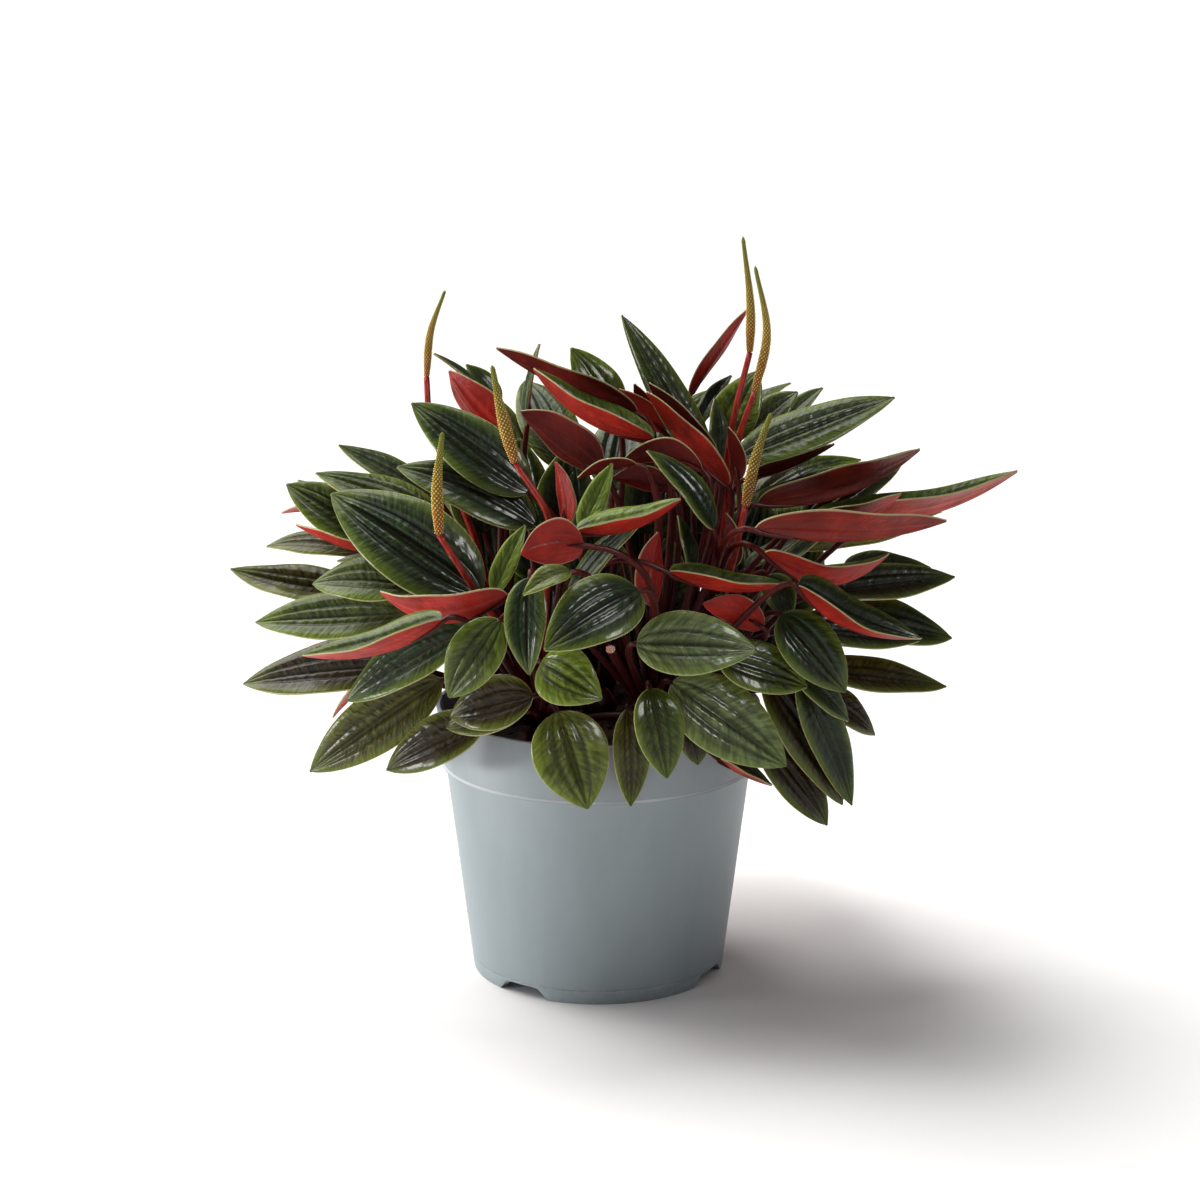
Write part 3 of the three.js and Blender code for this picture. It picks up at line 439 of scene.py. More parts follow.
def along_chords(path: Array, count: int) -> Array:
    """Spreads points evenly along the straight chords of a path.

    Args:
        path: the path's points.
        count: how many steps to take.

    Returns:
        count + 1 points.
    """
    reached = stations(count) * (len(path) - 1)
    chord = np.minimum(reached.astype(int), len(path) - 2)
    return path[chord] + (path[chord + 1] - path[chord]) * (reached - chord)[:, None]


def carried_sides(path: Array, first: Array | None = None) -> tuple[Array, Array]:
    """Carries two square directions along a path without twist.

    Args:
        path: the path's points.
        first: the side direction at its start.

    Returns:
        The two directions at each point.
    """
    along = np.concatenate([path[1:], path[-1:]]) - np.concatenate([path[:1], path[:-1]])
    along /= np.linalg.norm(along, axis=1)[:, None]
    side = first
    if side is None:
        side = np.cross(along[0], UP if abs(along[0][2]) < 0.9 else np.array([1.0, 0.0, 0.0]))
    sides = np.empty_like(path)
    for step, line in enumerate(along):
        side = unit(side - line * float(side @ line))
        sides[step] = side
    return sides, np.cross(along, sides)


# ------------------------------------------------------------------ one leaf


@dataclass(frozen=True)
class Stalk:
    """The curve of a leaf's stalk, from the blade to a crown, by its control points."""

    crown: str
    ends: Array
    steps: int = 3

    @cached_property
    def chords(self) -> Array:
        """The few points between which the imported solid's stalk runs straight."""
        return bezier(self.ends, stations(self.steps))


@dataclass(frozen=True)
class Leaf:
    """A blade with its place, turn and form, and its stalk once it is fitted."""

    foot: Array
    tip: Array
    normal: Array
    across: Array
    push: Array
    width: float
    fold: float
    bow: float
    top: Top
    under: Under = Under.RED
    stalk: Stalk | None = None
    spare: bool = False
    rise_power: float = 0.55
    fall_power: float = 0.84

    @classmethod
    def laid(
        cls,
        foot: Array,
        tip: Array,
        facing: Array,
        push: Array,
        width: float,
        roll: float,
        fold: float,
        bow: float,
        top: Top,
        under: Under = Under.RED,
    ) -> "Leaf":
        """Lays a blade between two points.

        Args:
            foot: the stalk end.
            tip: the other end.
            facing: where the top side looks at a roll of 0.
            push: the way it gives way to the leaves before it.
            width: its greatest width.
            roll: its turn about its own length, in radians.
            fold: how far each half tilts up, in radians.
            bow: the rise of its middle, of its length.
            top: the colour of its upper side.
            under: the colour of its underside.

        Returns:
            The leaf, not yet fitted.
        """
        axis = unit(tip - foot)
        flat = unit(facing - axis * float(facing @ axis))
        turn = np.cross(axis, flat)
        up = -1 if turn[2] < 0 else 1
        normal = flat * math.cos(roll) + turn * (up * math.sin(roll))
        across = np.cross(axis, normal)
        return cls(foot, tip, normal, across, push, width, fold, bow, top, under)

    @classmethod
    def in_view(cls, row: LeafRow) -> "Leaf":
        """Lays a leaf out from its row."""
        foot = place(row.foot)
        forward = unit(VIEWPOINT - foot)
        roll, fold = math.radians(row.roll), math.radians(row.fold)
        tip = place(row.tip)
        return cls.laid(foot, tip, forward, forward, row.width, roll, fold, row.bow, row.top, row.under)

    @cached_property
    def length(self) -> float:
        """The straight length from foot to tip."""
        return length_of(self.tip - self.foot)

    def spine(self, t: Array) -> Array:
        """Gives points of the midrib at places from 0 to 1 along it."""
        t = np.asarray(t, float)[..., None]
        bowed = self.normal * (4 * t * (1 - t) * self.bow * self.length)
        return self.foot + (self.tip - self.foot) * t + bowed

    def outline(self, t: Array) -> Array:
        """Gives the half width at places from 0 to 1 along the blade."""
        widest = self.rise_power / (self.rise_power + self.fall_power)
        share = (t / widest) ** self.rise_power * ((1 - t) / (1 - widest)) ** self.fall_power
        return self.width / 2 * share

    def surface(self, t: Array, side: Array, least: float = 0.0) -> Array:
        """Gives points of the blade's middle surface.

        Args:
            t: places along it, from 0 to 1.
            side: places across it, from -1 to 1.
            least: the half width that it keeps at its ends.

        Returns:
            One point for each pair of places.
        """
        half = np.maximum(self.outline(t), least)
        sideways = self.across * (side * half * math.cos(self.fold))[..., None]
        tilted = self.normal * (np.abs(side) * half * math.sin(self.fold))[..., None]
        return self.spine(t) + sideways + tilted

    def as_spare(self) -> "Leaf":
        """Gives the same leaf as one that may be left out."""
        return replace(self, spare=True)

    def moved(self, shift: Array) -> "Leaf":
        """Gives the same leaf moved along."""
        return replace(self, foot=self.foot + shift, tip=self.tip + shift)


# ------------------------------------------------------------------ fitting the clump


@dataclass
class FlowerSpikeRow:
    """A flower spike by its girth, tip, bend and joint, and a place its stalk passes."""

    crown: str
    girth: float
    tip: Point
    bend: Point
    joint: Point
    past: Point


FLOWER_SPIKES = [
    FlowerSpikeRow("front_left", 1, (-38.2, 226.3, 50), (-34.5, 207, 54), (-30, 190.5, 58), (-18, 170, 60)),
    FlowerSpikeRow("front_left", 0.92, (-56.3, 202, 74), (-58.5, 183, 76), (-58, 164, 76), (-44.5, 142, 74)),
    FlowerSpikeRow("rear_left", 0.68, (-54.7, 253.3, 2), (-60.2, 238, 4), (-61.8, 222, 6), (-60.5, 205, 12)),
    FlowerSpikeRow("right", 0.8, (51.5, 272.5, 14), (54.5, 248, 16), (54.5, 231, 18), (48.5, 204, 24)),
    FlowerSpikeRow("right", 0.8, (56, 262, 20), (60.5, 238, 24), (56.5, 216.5, 28), (51, 200, 30)),
    FlowerSpikeRow("right", 0.92, (62.5, 209, 44), (57, 192, 46), (53.5, 174.5, 48), (50, 157, 50)),
]

CROWNS = {
    "front_left": (-20.0, -26.0),
    "front_right": (20.0, -28.0),
    "left": (-37.0, 2.0),
    "right": (38.0, 0.0),
    "middle": (0.0, 6.0),
    "middle_left": (-18.0, -3.0),
    "middle_right": (20.0, -5.0),
    "rear_left": (-30.0, 30.0),
    "rear_right": (30.0, 30.0),
    "rear_middle": (0.0, 38.0),
}
CROWN_NECK = 98.0
CROWN_SUNK = 4.6


def crown_head(name: str, toward: Array) -> tuple[Array, Array]:
    """Finds where a stalk leaves a crown.

    Args:
        name: the crown.
        toward: where the stalk goes.

    Returns:
        The point in the crown's knob, and the direction outward.
    """
    neck = np.array([*CROWNS[name], CROWN_NECK])
    out = unit(toward - neck)
    return neck + out * CROWN_SUNK, out


def flower_stalk(row: FlowerSpikeRow, steps: Array, joint_gap: float = 0.5, lift: float = 6) -> Array:
    """Gives points of a flower spike's stalk, from the spike down to its crown."""
    bend, joint, past = place(row.bend), place(row.joint), place(row.past)
    head, _ = crown_head(row.crown, past)
    start = joint + unit(joint - bend) * joint_gap
    middle = past + (head - past) * 0.5 + UP * lift
    return smooth_through([start, past, middle, head], steps)


def flower_spike(row: FlowerSpikeRow, steps: Array) -> Array:
    """Gives points of a flower spike, from its joint to its tip."""
    return smooth_through([place(row.joint), place(row.bend), place(row.tip)], steps)


@dataclass
class Room:
    """Cells that keep blades and stalks clear of each other while the clump is filled."""

    cell: float = 1.15
    low: tuple[float, float, float] = (-150, -130, 40)
    size: tuple[int, int, int] = (270, 245, 210)
    solid: int = 100

    def __post_init__(self) -> None:
        """Empties the cells."""
        self.marks = np.zeros(math.prod(self.size), np.uint8)
        steps = np.array([(x, y, z) for x in (-1, 0, 1) for y in (-1, 0, 1) for z in (-1, 0, 1)])
        self.around = self.flat(steps)

    def flat(self, cells: Array) -> Array:
        """Gives the position of cells in the list."""
        return (cells[..., 0] * self.size[1] + cells[..., 1]) * self.size[2] + cells[..., 2]

    def found(self, points: Array) -> Array:
        """Gives the cells that points lie in."""
        return self.flat(np.floor((points - np.array(self.low)) / self.cell).astype(int))

    def mark(self, points: Array, mark: int) -> None:
        """Marks the cells of points and those around them, keeping a higher mark."""
        cells = np.unique(self.found(points)[:, None] + self.around[None, :])
        self.marks[cells] = np.maximum(self.marks[cells], mark)

    def at(self, points: Array) -> Array:
        """Gives the marks where points lie."""
        return self.marks[self.found(points)]


@dataclass
class ClumpFitter:
    """Moves each leaf along its push until it lies clear and a stalk reaches it."""

    room: Room = field(default_factory=Room)
    along: int = 34
    across: int = 13
    stalk_steps: int = 30
    spike_chords: int = 10
    flower_stalk_chords: int = 5
    stalk_radius: float = 1.1
    push_step: float = 1
    push_limit: int = 50
    spare_limit: int = 20
    crowns_tried: int = 6
    pot_height: float = 101
    rim_radius: float = 60
    wall: float = 1.6
    rim_clearance: float = 2.2
    first_station: float = 0.16
    blade_reaches: tuple[float, ...] = (0.14, 0.26, 0.4)
    crown_reaches: tuple[float, ...] = (0.26, 0.45, 0.12)
    rises: tuple[float, ...] = (0.6, 0.1, 1.5, 3)

    def __post_init__(self) -> None:
        """Prepares the probe over a blade and the count of leaves on each crown."""
        self.held = dict.fromkeys(CROWNS, 0)
        along = np.repeat(stations(self.along), self.across + 1)
        across = np.tile(2 * stations(self.across) - 1, self.along + 1)
        self.probe = (along, across)
        self.shapes = [
            (blade, crown, rise)
            for rise in self.rises
            for crown in self.crown_reaches
            for blade in self.blade_reaches
        ]

    def clear_of_pot(self, points: Array) -> Array:
        """Tells which points lie above or outside the pot's rim."""
        away = np.hypot(points[:, 0], points[:, 1])
        above = points[:, 2] > self.pot_height + self.rim_clearance
        return above | (away > self.rim_radius + self.rim_clearance)

    def blade_is_clear(self, leaf: Leaf) -> bool:
        """Tells whether a blade meets nothing."""
        points = leaf.surface(*self.probe)
        return bool(np.all(self.room.at(points) == 0) and np.all(self.clear_of_pot(points)))

    def free(self, points: Array, own: int) -> bool:
        """Tells whether points meet nothing but stalks of their own crown, and no rim."""
        marks = self.room.at(points)
        if not np.all((marks == 0) | (marks == own)):
            return False
        inside = np.hypot(points[:, 0], points[:, 1]) < self.rim_radius - self.wall - self.rim_clearance
        return bool(np.all(inside | self.clear_of_pot(points)))

    def stalk_is_clear(self, stalk: Stalk) -> bool:
        """Tells whether a stalk meets nothing, along its middle and round its sides."""
        own = self.mark_of(stalk.crown)
        path = along_chords(stalk.chords, self.stalk_steps)
        if not self.free(path, own):
            return False
        side, other = (each * self.stalk_radius for each in carried_sides(path))
        return self.free(np.concatenate([path + side, path + other, path - side, path - other]), own)

    def mark_of(self, crown: str) -> int:
        """Gives the mark of a crown's stalks."""
        return 1 + list(CROWNS).index(crown)

    def crowns_in_reach(self, leaf: Leaf) -> list[str]:
        """Lists the nearest crowns, one that holds many leaves counting as farther."""
        return sorted(CROWNS, key=lambda name: self.cost(leaf, name))[: self.crowns_tried]

    def cost(self, leaf: Leaf, crown: str) -> float:
        """Gives how far off a crown counts: its distance, and its leaves so far."""
        x, y = CROWNS[crown]
        return math.hypot(leaf.foot[0] - x, leaf.foot[1] - y) + self.held[crown]

    def stalk(self, leaf: Leaf, crown: str, shape: tuple[float, float, float]) -> Stalk:
        """Draws a stalk that leaves the blade along its midrib and the crown outward.

        Args:
            leaf: the leaf.
            crown: where the stalk ends.
            shape: how far it runs straight out of the blade and of the crown, of its
                length, and how steeply it leaves the crown.

        Returns:
            The stalk.
        """
        blade_reach, crown_reach, rise = shape
        head, out = crown_head(crown, leaf.foot)
        length = length_of(leaf.foot - head)
        outward = leaf.foot + unit(leaf.foot - leaf.spine(self.first_station)) * (blade_reach * length)
        upward = head + unit(out + UP * rise) * (crown_reach * length)
        return Stalk(crown, np.array([leaf.foot, outward, upward, head]))

    def with_stalk(self, leaf: Leaf) -> Leaf | None:
        """Finds a leaf its first clear stalk.

        Args:
            leaf: a leaf whose blade is clear.

        Returns:
            The leaf with its stalk, or None.
        """
        for crown in self.crowns_in_reach(leaf):
            for shape in self.shapes:
                stalk = self.stalk(leaf, crown, shape)
                if self.stalk_is_clear(stalk):
                    return replace(leaf, stalk=stalk)
        return None

    def fit(self, leaf: Leaf) -> Leaf | None:
        """Moves one leaf to its place; a spare leaf that finds none is left out."""
        for tries in range(self.spare_limit if leaf.spare else self.push_limit):
            moved = leaf.moved(leaf.push * (tries * self.push_step))
            fitted = self.with_stalk(moved) if self.blade_is_clear(moved) else None
            if fitted:
                return fitted
        if not leaf.spare:
            raise RuntimeError("A leaf in view finds no clear place.")
        return None

    def mark_flower_spikes(self) -> None:
        """Takes the room of the flower spikes and their stalks first."""
        for row in FLOWER_SPIKES:
            spike = flower_spike(row, stations(self.spike_chords))
            self.room.mark(along_chords(spike, self.stalk_steps), self.room.solid)
            stalk = flower_stalk(row, stations(self.flower_stalk_chords))
            self.room.mark(along_chords(stalk, self.stalk_steps), self.mark_of(row.crown))

    def fitted(self, leaves: list[Leaf]) -> list[Leaf]:
        """Fits all leaves in turn.

        Args:
            leaves: the leaves as laid out, the rear ones first.

        Returns:
            The leaves in their places, each with its stalk.
        """
        self.mark_flower_spikes()
        done = []
        for leaf in leaves:
            fitted = self.fit(leaf)
            if fitted is None:
                continue
            self.held[fitted.stalk.crown] += 1
            self.room.mark(fitted.surface(*self.probe), self.room.solid)
            path = along_chords(fitted.stalk.chords, self.stalk_steps)
            self.room.mark(path, self.mark_of(fitted.stalk.crown))
            done.append(fitted)
        return done


# ------------------------------------------------------------------ finishes


HALF_BLADE = 9.0  # half the width for which the ripples are drawn
RIPPLE_SLANT = 0.9
RIPPLE_SCALES = (0.62, 0.24, 3.7)  # along a blade, across it, and from one length to another


class Graph:
    """The nodes of one material, wired value by value."""

    def __init__(self, name: str) -> None:
        """Starts a material of that name."""
        self.material = bpy.data.materials.new(name)
        self.material.use_nodes = True
        self.tree = self.material.node_tree
        self.shader = self.tree.nodes["Principled BSDF"]

    def node(self, kind: str, inputs: dict, **settings: object) -> bpy.types.Node:
        """Adds a node.

        Args:
            kind: its type.
            inputs: a value or a socket for each input, by name or number.
            settings: its other settings.

        Returns:
            The node.
        """
        made = self.tree.nodes.new(kind)
        for name, value in settings.items():
            setattr(made, name, value)
        for name, value in inputs.items():
            if isinstance(value, Socket):
                self.tree.links.new(value, made.inputs[name])
            else:
                made.inputs[name].default_value = value
        return made

    def math(self, operation: str, first: Socket | float, second: Socket | float = 0.0) -> Socket:
        """Adds a math node and gives its value."""
        return self.node("ShaderNodeMath", {0: first, 1: second}, operation=operation).outputs[0]

    def product(self, first: Socket | float, second: Socket | float) -> Socket:
        """Gives the two values multiplied."""
        return self.math("MULTIPLY", first, second)

    def away(self, value: Socket, centre: float) -> Socket:
        """Gives how far the value lies from the centre."""
        return self.math("ABSOLUTE", self.math("SUBTRACT", value, centre))

    def step(self, value: Socket, low: float, high: float) -> Socket:
        """Gives 0 to 1 as the value goes smoothly from low to high."""
        inputs = {"Value": value, "From Min": low, "From Max": high}
        return self.node("ShaderNodeMapRange", inputs, interpolation_type="SMOOTHSTEP").outputs[0]

    def mix(self, share: Socket | float, first: Socket | tuple, second: Socket | tuple, **how: str) -> Socket:
        """Mixes two colours and gives the mixed one."""
        inputs = {0: share, 6: opaque(first), 7: opaque(second)}
        return self.node("ShaderNodeMix", inputs, data_type="RGBA", **how).outputs[2]

    def laid_over(self, colour: Socket, mask: Socket, share: float, over: str) -> Socket:
        """Lays a colour over another one where the mask says so, as strongly as the share."""
        return self.mix(self.product(mask, share), colour, linear(over))

    def noise(self, vector: Socket, scale: float, detail: float = 3.0, rough: float = 0.55) -> Socket:
        """Gives a noise from 0 to 1 over the vector."""
        inputs = {"Vector": vector, "Scale": scale, "Detail": detail, "Roughness": rough}
        return self.node("ShaderNodeTexNoise", inputs).outputs[0]

    def bump(self, height: Socket, distance: float, strength: float = 1.0) -> Socket:
        """Gives the normal of a relief of that depth in metres."""
        inputs = {"Height": height, "Distance": distance, "Strength": strength}
        return self.node("ShaderNodeBump", inputs).outputs[0]

    def attribute(self, name: str) -> bpy.types.Node:
        """Adds a node that reads an attribute of the mesh."""
        return self.node("ShaderNodeAttribute", {}, attribute_name=name)

    def times(self, colour: Socket, by: float) -> Socket:
        """Gives the colour times a number."""
        return self.mix(1.0, colour, (by, by, by), blend_type="MULTIPLY")

    def place(self) -> Socket:
        """Gives the place on the object, in metres."""
        return self.node("ShaderNodeTexCoord", {}).outputs["Object"]

    def parts(self, vector: Socket) -> bpy.types.bpy_prop_collection:
        """Gives the three parts of a vector."""
        return self.node("ShaderNodeSeparateXYZ", {0: vector}).outputs

    def stretched(self, vector: Socket, upright: float) -> Socket:
        """Gives a vector with its upright part scaled."""
        return self.node("ShaderNodeMapping", {0: vector, 3: (1.0, 1.0, upright)}).outputs[0]

    def blade(self) -> bpy.types.bpy_prop_collection:
        """Gives the place across a blade, the place along it and its length."""
        return self.parts(self.attribute("blade").outputs["Vector"])

    def ripples(self, blade: bpy.types.bpy_prop_collection, side: Socket) -> Socket:
        """Gives the wrinkles that run obliquely from the veins, uneven, from 0 to 1."""
        along, across = self.product(blade[1], blade[2]), self.product(side, HALF_BLADE)
        slanted = self.math("SUBTRACT", along, self.product(across, RIPPLE_SLANT))
        spots = (slanted, across, blade[2])
        scaled = [self.product(spot, scale) for spot, scale in zip(spots, RIPPLE_SCALES)]
        inputs = dict(enumerate(scaled))
        return self.noise(self.node("ShaderNodeCombineXYZ", inputs).outputs[0], 1.0, 2.0)

    def shade(self, **sockets: Socket | float | tuple) -> bpy.types.Material:
        """Sets the shader's sockets, with underscores for the spaces in their names.

        Args:
            sockets: a value or a socket for each.

        Returns:
            The finished material.
        """
        for name, value in sockets.items():
            socket = self.shader.inputs[name.replace("_", " ")]
            if isinstance(value, Socket):
                self.tree.links.new(value, socket)
            else:
                socket.default_value = opaque(value) if isinstance(value, tuple) else value
        return self.material


def opaque(colour: Socket | tuple) -> Socket | tuple:
    """Gives a plain colour an alpha of 1 and leaves a socket as it is."""
    return colour if isinstance(colour, Socket) else (*colour[:3], 1.0)


@dataclass(frozen=True)
class LeafTopFinish:
    """Glossy upper side: dark sunken veins, feathered ripples, yellow-green edge.

    The veins are partly their own darker green and partly painted shade in their grooves; the ripples carry
    painted shade in their hollows and are lighter on their crests.
    """

    ripple_shading_tones: tuple[float, float] = (0.4, 0.92)
    cloud_gain: float = 1.35
    edge_tone: str = "7c8f2c"
    edge_share: float = 0.36
    # How dark the veins go: partly their own colour, partly painted shade in their grooves.
    vein_tone: float = 0.28
    vein_reach: tuple[float, ...] = (0.24, 0.13, 0.08)
    vein_shares: tuple[float, ...] = (0.82, 0.7, 0.3)
    vein_drift: float = 0.12
    midrib: str = "77552f"
    midrib_share: float = 0.45
    margin: str = "b9b684"
    margin_share: float = 0.6
    roughness: float = 0.5
    roughness_drift: float = 0.3
    fine_relief: float = 0.35
    ripple_relief: float = 1.2
    coat: float = 0.28
    coat_roughness: float = 0.22
    specular: float = 0.08

    def material(self) -> bpy.types.Material:
        """Builds the material from the blade and tone attributes."""
        g = Graph("leaf_top")
        blade = g.blade()
        side = g.math("ABSOLUTE", blade[0])
        clouds = g.noise(g.place(), 130, 3)
        ripples = g.ripples(blade, side)
        drift = g.math("SUBTRACT", clouds, 0.5)
        fine = g.product(g.noise(g.place(), 900, 2), self.fine_relief)
        relief = g.math("ADD", g.product(ripples, self.ripple_relief), fine)
        return g.shade(
            Base_Color=self.colour(g, blade, side, clouds, ripples),
            Roughness=g.math("ADD", self.roughness, g.product(drift, self.roughness_drift)),
            Normal=g.bump(relief, 0.001, 0.7),
            Coat_Weight=self.coat,
            Coat_Roughness=self.coat_roughness,
            Specular_IOR_Level=self.specular,
        )

    def colour(
        self, g: Graph, blade: bpy.types.bpy_prop_collection, side: Socket, clouds: Socket, ripples: Socket
    ) -> Socket:
        """Lays the colours over each other.

        Args:
            g: the material's nodes.
            blade: the place across the blade, the place along it and its length.
            side: how far from the midrib.
            clouds: a broad noise.
            ripples: the wrinkles between the veins.

        Returns:
            The colour.
        """
        tone = g.attribute("tone").outputs["Color"]
        # Painted shade in the hollows of the ripples and lighter crests, following the same ripples as the
        # bump.
        low, high = (g.times(tone, share) for share in self.ripple_shading_tones)
        colour = g.mix(g.step(ripples, 0.34, 0.66), low, high)
        colour = g.mix(g.step(clouds, 0.4, 0.7), colour, g.times(colour, self.cloud_gain))
        edge = g.math("MAXIMUM", g.step(side, 0.55, 1.0), g.step(blade[1], 0.7, 1.0))
        colour = g.laid_over(colour, edge, self.edge_share, self.edge_tone)
        # Dark sunken veins: partly their own darker green, partly painted shade in the grooves.
        colour = g.mix(self.sunk(g, side, clouds), colour, g.times(tone, self.vein_tone))
        line = g.product(g.step(side, 0.03, 0.0), g.step(blade[1], 0.95, 0.1))
        colour = g.laid_over(colour, line, self.midrib_share, self.midrib)
        return g.laid_over(colour, g.step(side, 0.965, 0.995), self.margin_share, self.margin)

    def sunk(self, g: Graph, side: Socket, clouds: Socket) -> Socket:
        """Gives how dark the blade is along its sunken veins, their edges uneven: partly their own darker
        green, partly painted shade in the grooves.
        """
        flank = g.math("ADD", side, g.product(g.math("SUBTRACT", clouds, 0.5), self.vein_drift))
        dark: Socket | float = 0.0
        for vein, reach, share in zip(VEINS, self.vein_reach, self.vein_shares):
            dark = g.math("MAXIMUM", dark, g.product(g.step(g.away(flank, vein), reach, 0.0), share))
        return dark


@dataclass(frozen=True)
class LeafUndersideFinish:
    """Satin red underside, deeper towards the stalk, with faint veins, a pale margin and painted shade in the
    hollows of its ripples.
    """

    cloud_tones: tuple[float, float] = (0.6, 1.15)
    ripple_shade_share: float = 0.3
    ripple_tone: float = 0.5
    foot_share: float = 0.6
    foot_tone: float = 0.4
    vein_share: float = 0.2
    vein_tone: float = 1.7
    vein_reach: float = 0.035
    margin: str = "c79a80"
    margin_share: float = 0.65
    roughness: float = 0.4
    specular: float = 0.16

    def material(self) -> bpy.types.Material:
        """Builds the material from the blade and tone attributes."""
        g = Graph("leaf_underside")
        blade = g.blade()
        tone = g.attribute("tone").outputs["Color"]
        side = g.math("ABSOLUTE", blade[0])
        clouds = g.noise(g.place(), 90, 3)
        ripples = g.ripples(blade, side)
        pale: Socket | float = 0.0
        for vein in VEINS:
            pale = g.math("MAXIMUM", pale, g.step(g.away(side, vein), self.vein_reach, 0.0))
        low, high = (g.times(tone, share) for share in self.cloud_tones)
        colour = g.mix(g.step(clouds, 0.3, 0.7), low, high)
        for mask, share, by in (
            # Painted shade in the ripple hollows, then the deeper foot and the paler veins.
            (g.step(ripples, 0.6, 0.35), self.ripple_shade_share, self.ripple_tone),
            (g.step(blade[1], 0.45, 0.0), self.foot_share, self.foot_tone),
            (pale, self.vein_share, self.vein_tone),
        ):
            colour = g.mix(g.product(mask, share), colour, g.times(tone, by))
        colour = g.laid_over(colour, g.step(side, 0.93, 0.99), self.margin_share, self.margin)
        relief = g.math("ADD", g.noise(g.place(), 700, 2), ripples)
        return g.shade(
            Base_Color=colour,
            Roughness=self.roughness,
            Normal=g.bump(relief, 0.0004, 0.4),
            Specular_IOR_Level=self.specular,
        )


@dataclass(frozen=True)
class StalkFinish:
    """Fleshy red stalk with darker streaks, and painted shade low down among the crowns."""

    shade_and_streak_share: float = 0.3
    painted_shade_heights: tuple[float, float] = (0.12, 0.19)  # where the painted shade gives way, in metres
    roughness: float = 0.42
    specular: float = 0.14

    def material(self) -> bpy.types.Material:
        """Builds the material from the tone, the height and a stretched noise."""
        g = Graph("red_stalk")
        spot = g.place()
        tone = g.attribute("tone").outputs["Color"]
        streak = g.noise(g.stretched(spot, 0.15), 900, 2)
        # Painted shade: the stalk goes dark below the lower height, and in streaks above it.
        share = g.product(g.step(g.parts(spot)[2], *self.painted_shade_heights), g.step(streak, 0.25, 0.6))
        colour = g.mix(share, g.times(tone, self.shade_and_streak_share), tone)
        return g.shade(
            Base_Color=colour,
            Roughness=self.roughness,
            Normal=g.bump(streak, 0.0003, 0.4),
            Specular_IOR_Level=self.specular,
        )


@dataclass(frozen=True)
class SpikeFinish:
    """Granular spike: ochre at its foot, gold, then yellow-green at the tip.

    The pits between the grains are painted shade; the cream on the grain tops is their own colour made
    stronger as a painted highlight.
    """

    foot: str = "b56e2a"
    middle: str = "b48c34"
    tip: str = "8a8c30"
    cream: str = "ffe68c"
    cream_share: float = 0.85
    # How dark the pits between the grains go, as painted shade.
    pit: float = 0.5
    roughness: float = 0.6
    specular: float = 0.15

    def material(self) -> bpy.types.Material:
        """Builds the material from the grain attribute: place along, and height of the grain."""
        g = Graph("spike_grain")
        along, height, _ = g.parts(g.attribute("grain").outputs["Vector"])
        colour = g.mix(g.step(along, 0.0, 0.45), linear(self.foot), linear(self.middle))
        colour = g.mix(g.step(along, 0.4, 0.95), colour, linear(self.tip))
        # Painted shade in the pits between the grains.
        colour = g.mix(g.step(height, 0.05, 0.6), g.times(colour, self.pit), colour)
        # Cream on the raised grain tops: the flowers' own cream, made stronger as a painted highlight.
        ripe_and_highlit = g.product(g.step(height, 0.45, 0.75), g.step(along, 1.0, 0.5))
        spread = g.step(g.noise(g.place(), 700, 2), 0.3, 0.6)
        colour = g.laid_over(colour, g.product(ripe_and_highlit, spread), self.cream_share, self.cream)
        relief = g.bump(g.noise(g.place(), 2500, 2), 0.0002, 0.5)
        return g.shade(
            Base_Color=colour, Roughness=self.roughness, Normal=relief, Specular_IOR_Level=self.specular
        )


@dataclass(frozen=True)
class MixFinish:
    """Dark fibrous potting mix."""

    dark: str = "17100b"
    brown: str = "3d2a1c"
    fleck: str = "6e5640"
    fleck_share: float = 0.6
    roughness: float = 0.95
    specular: float = 0.2

    def material(self) -> bpy.types.Material:
        """Builds the material from noises on the object's place."""
        g = Graph("potting_mix_crumb")
        spot = g.place()
        clouds, grit = g.noise(spot, 220, 4), g.noise(spot, 1100, 3, 0.7)
        colour = g.mix(g.step(clouds, 0.4, 0.7), linear(self.dark), linear(self.brown))
        colour = g.laid_over(colour, g.step(grit, 0.66, 0.76), self.fleck_share, self.fleck)
        relief = g.bump(g.math("ADD", clouds, grit), 0.0012, 0.9)
        return g.shade(
            Base_Color=colour, Roughness=self.roughness, Normal=relief, Specular_IOR_Level=self.specular
        )


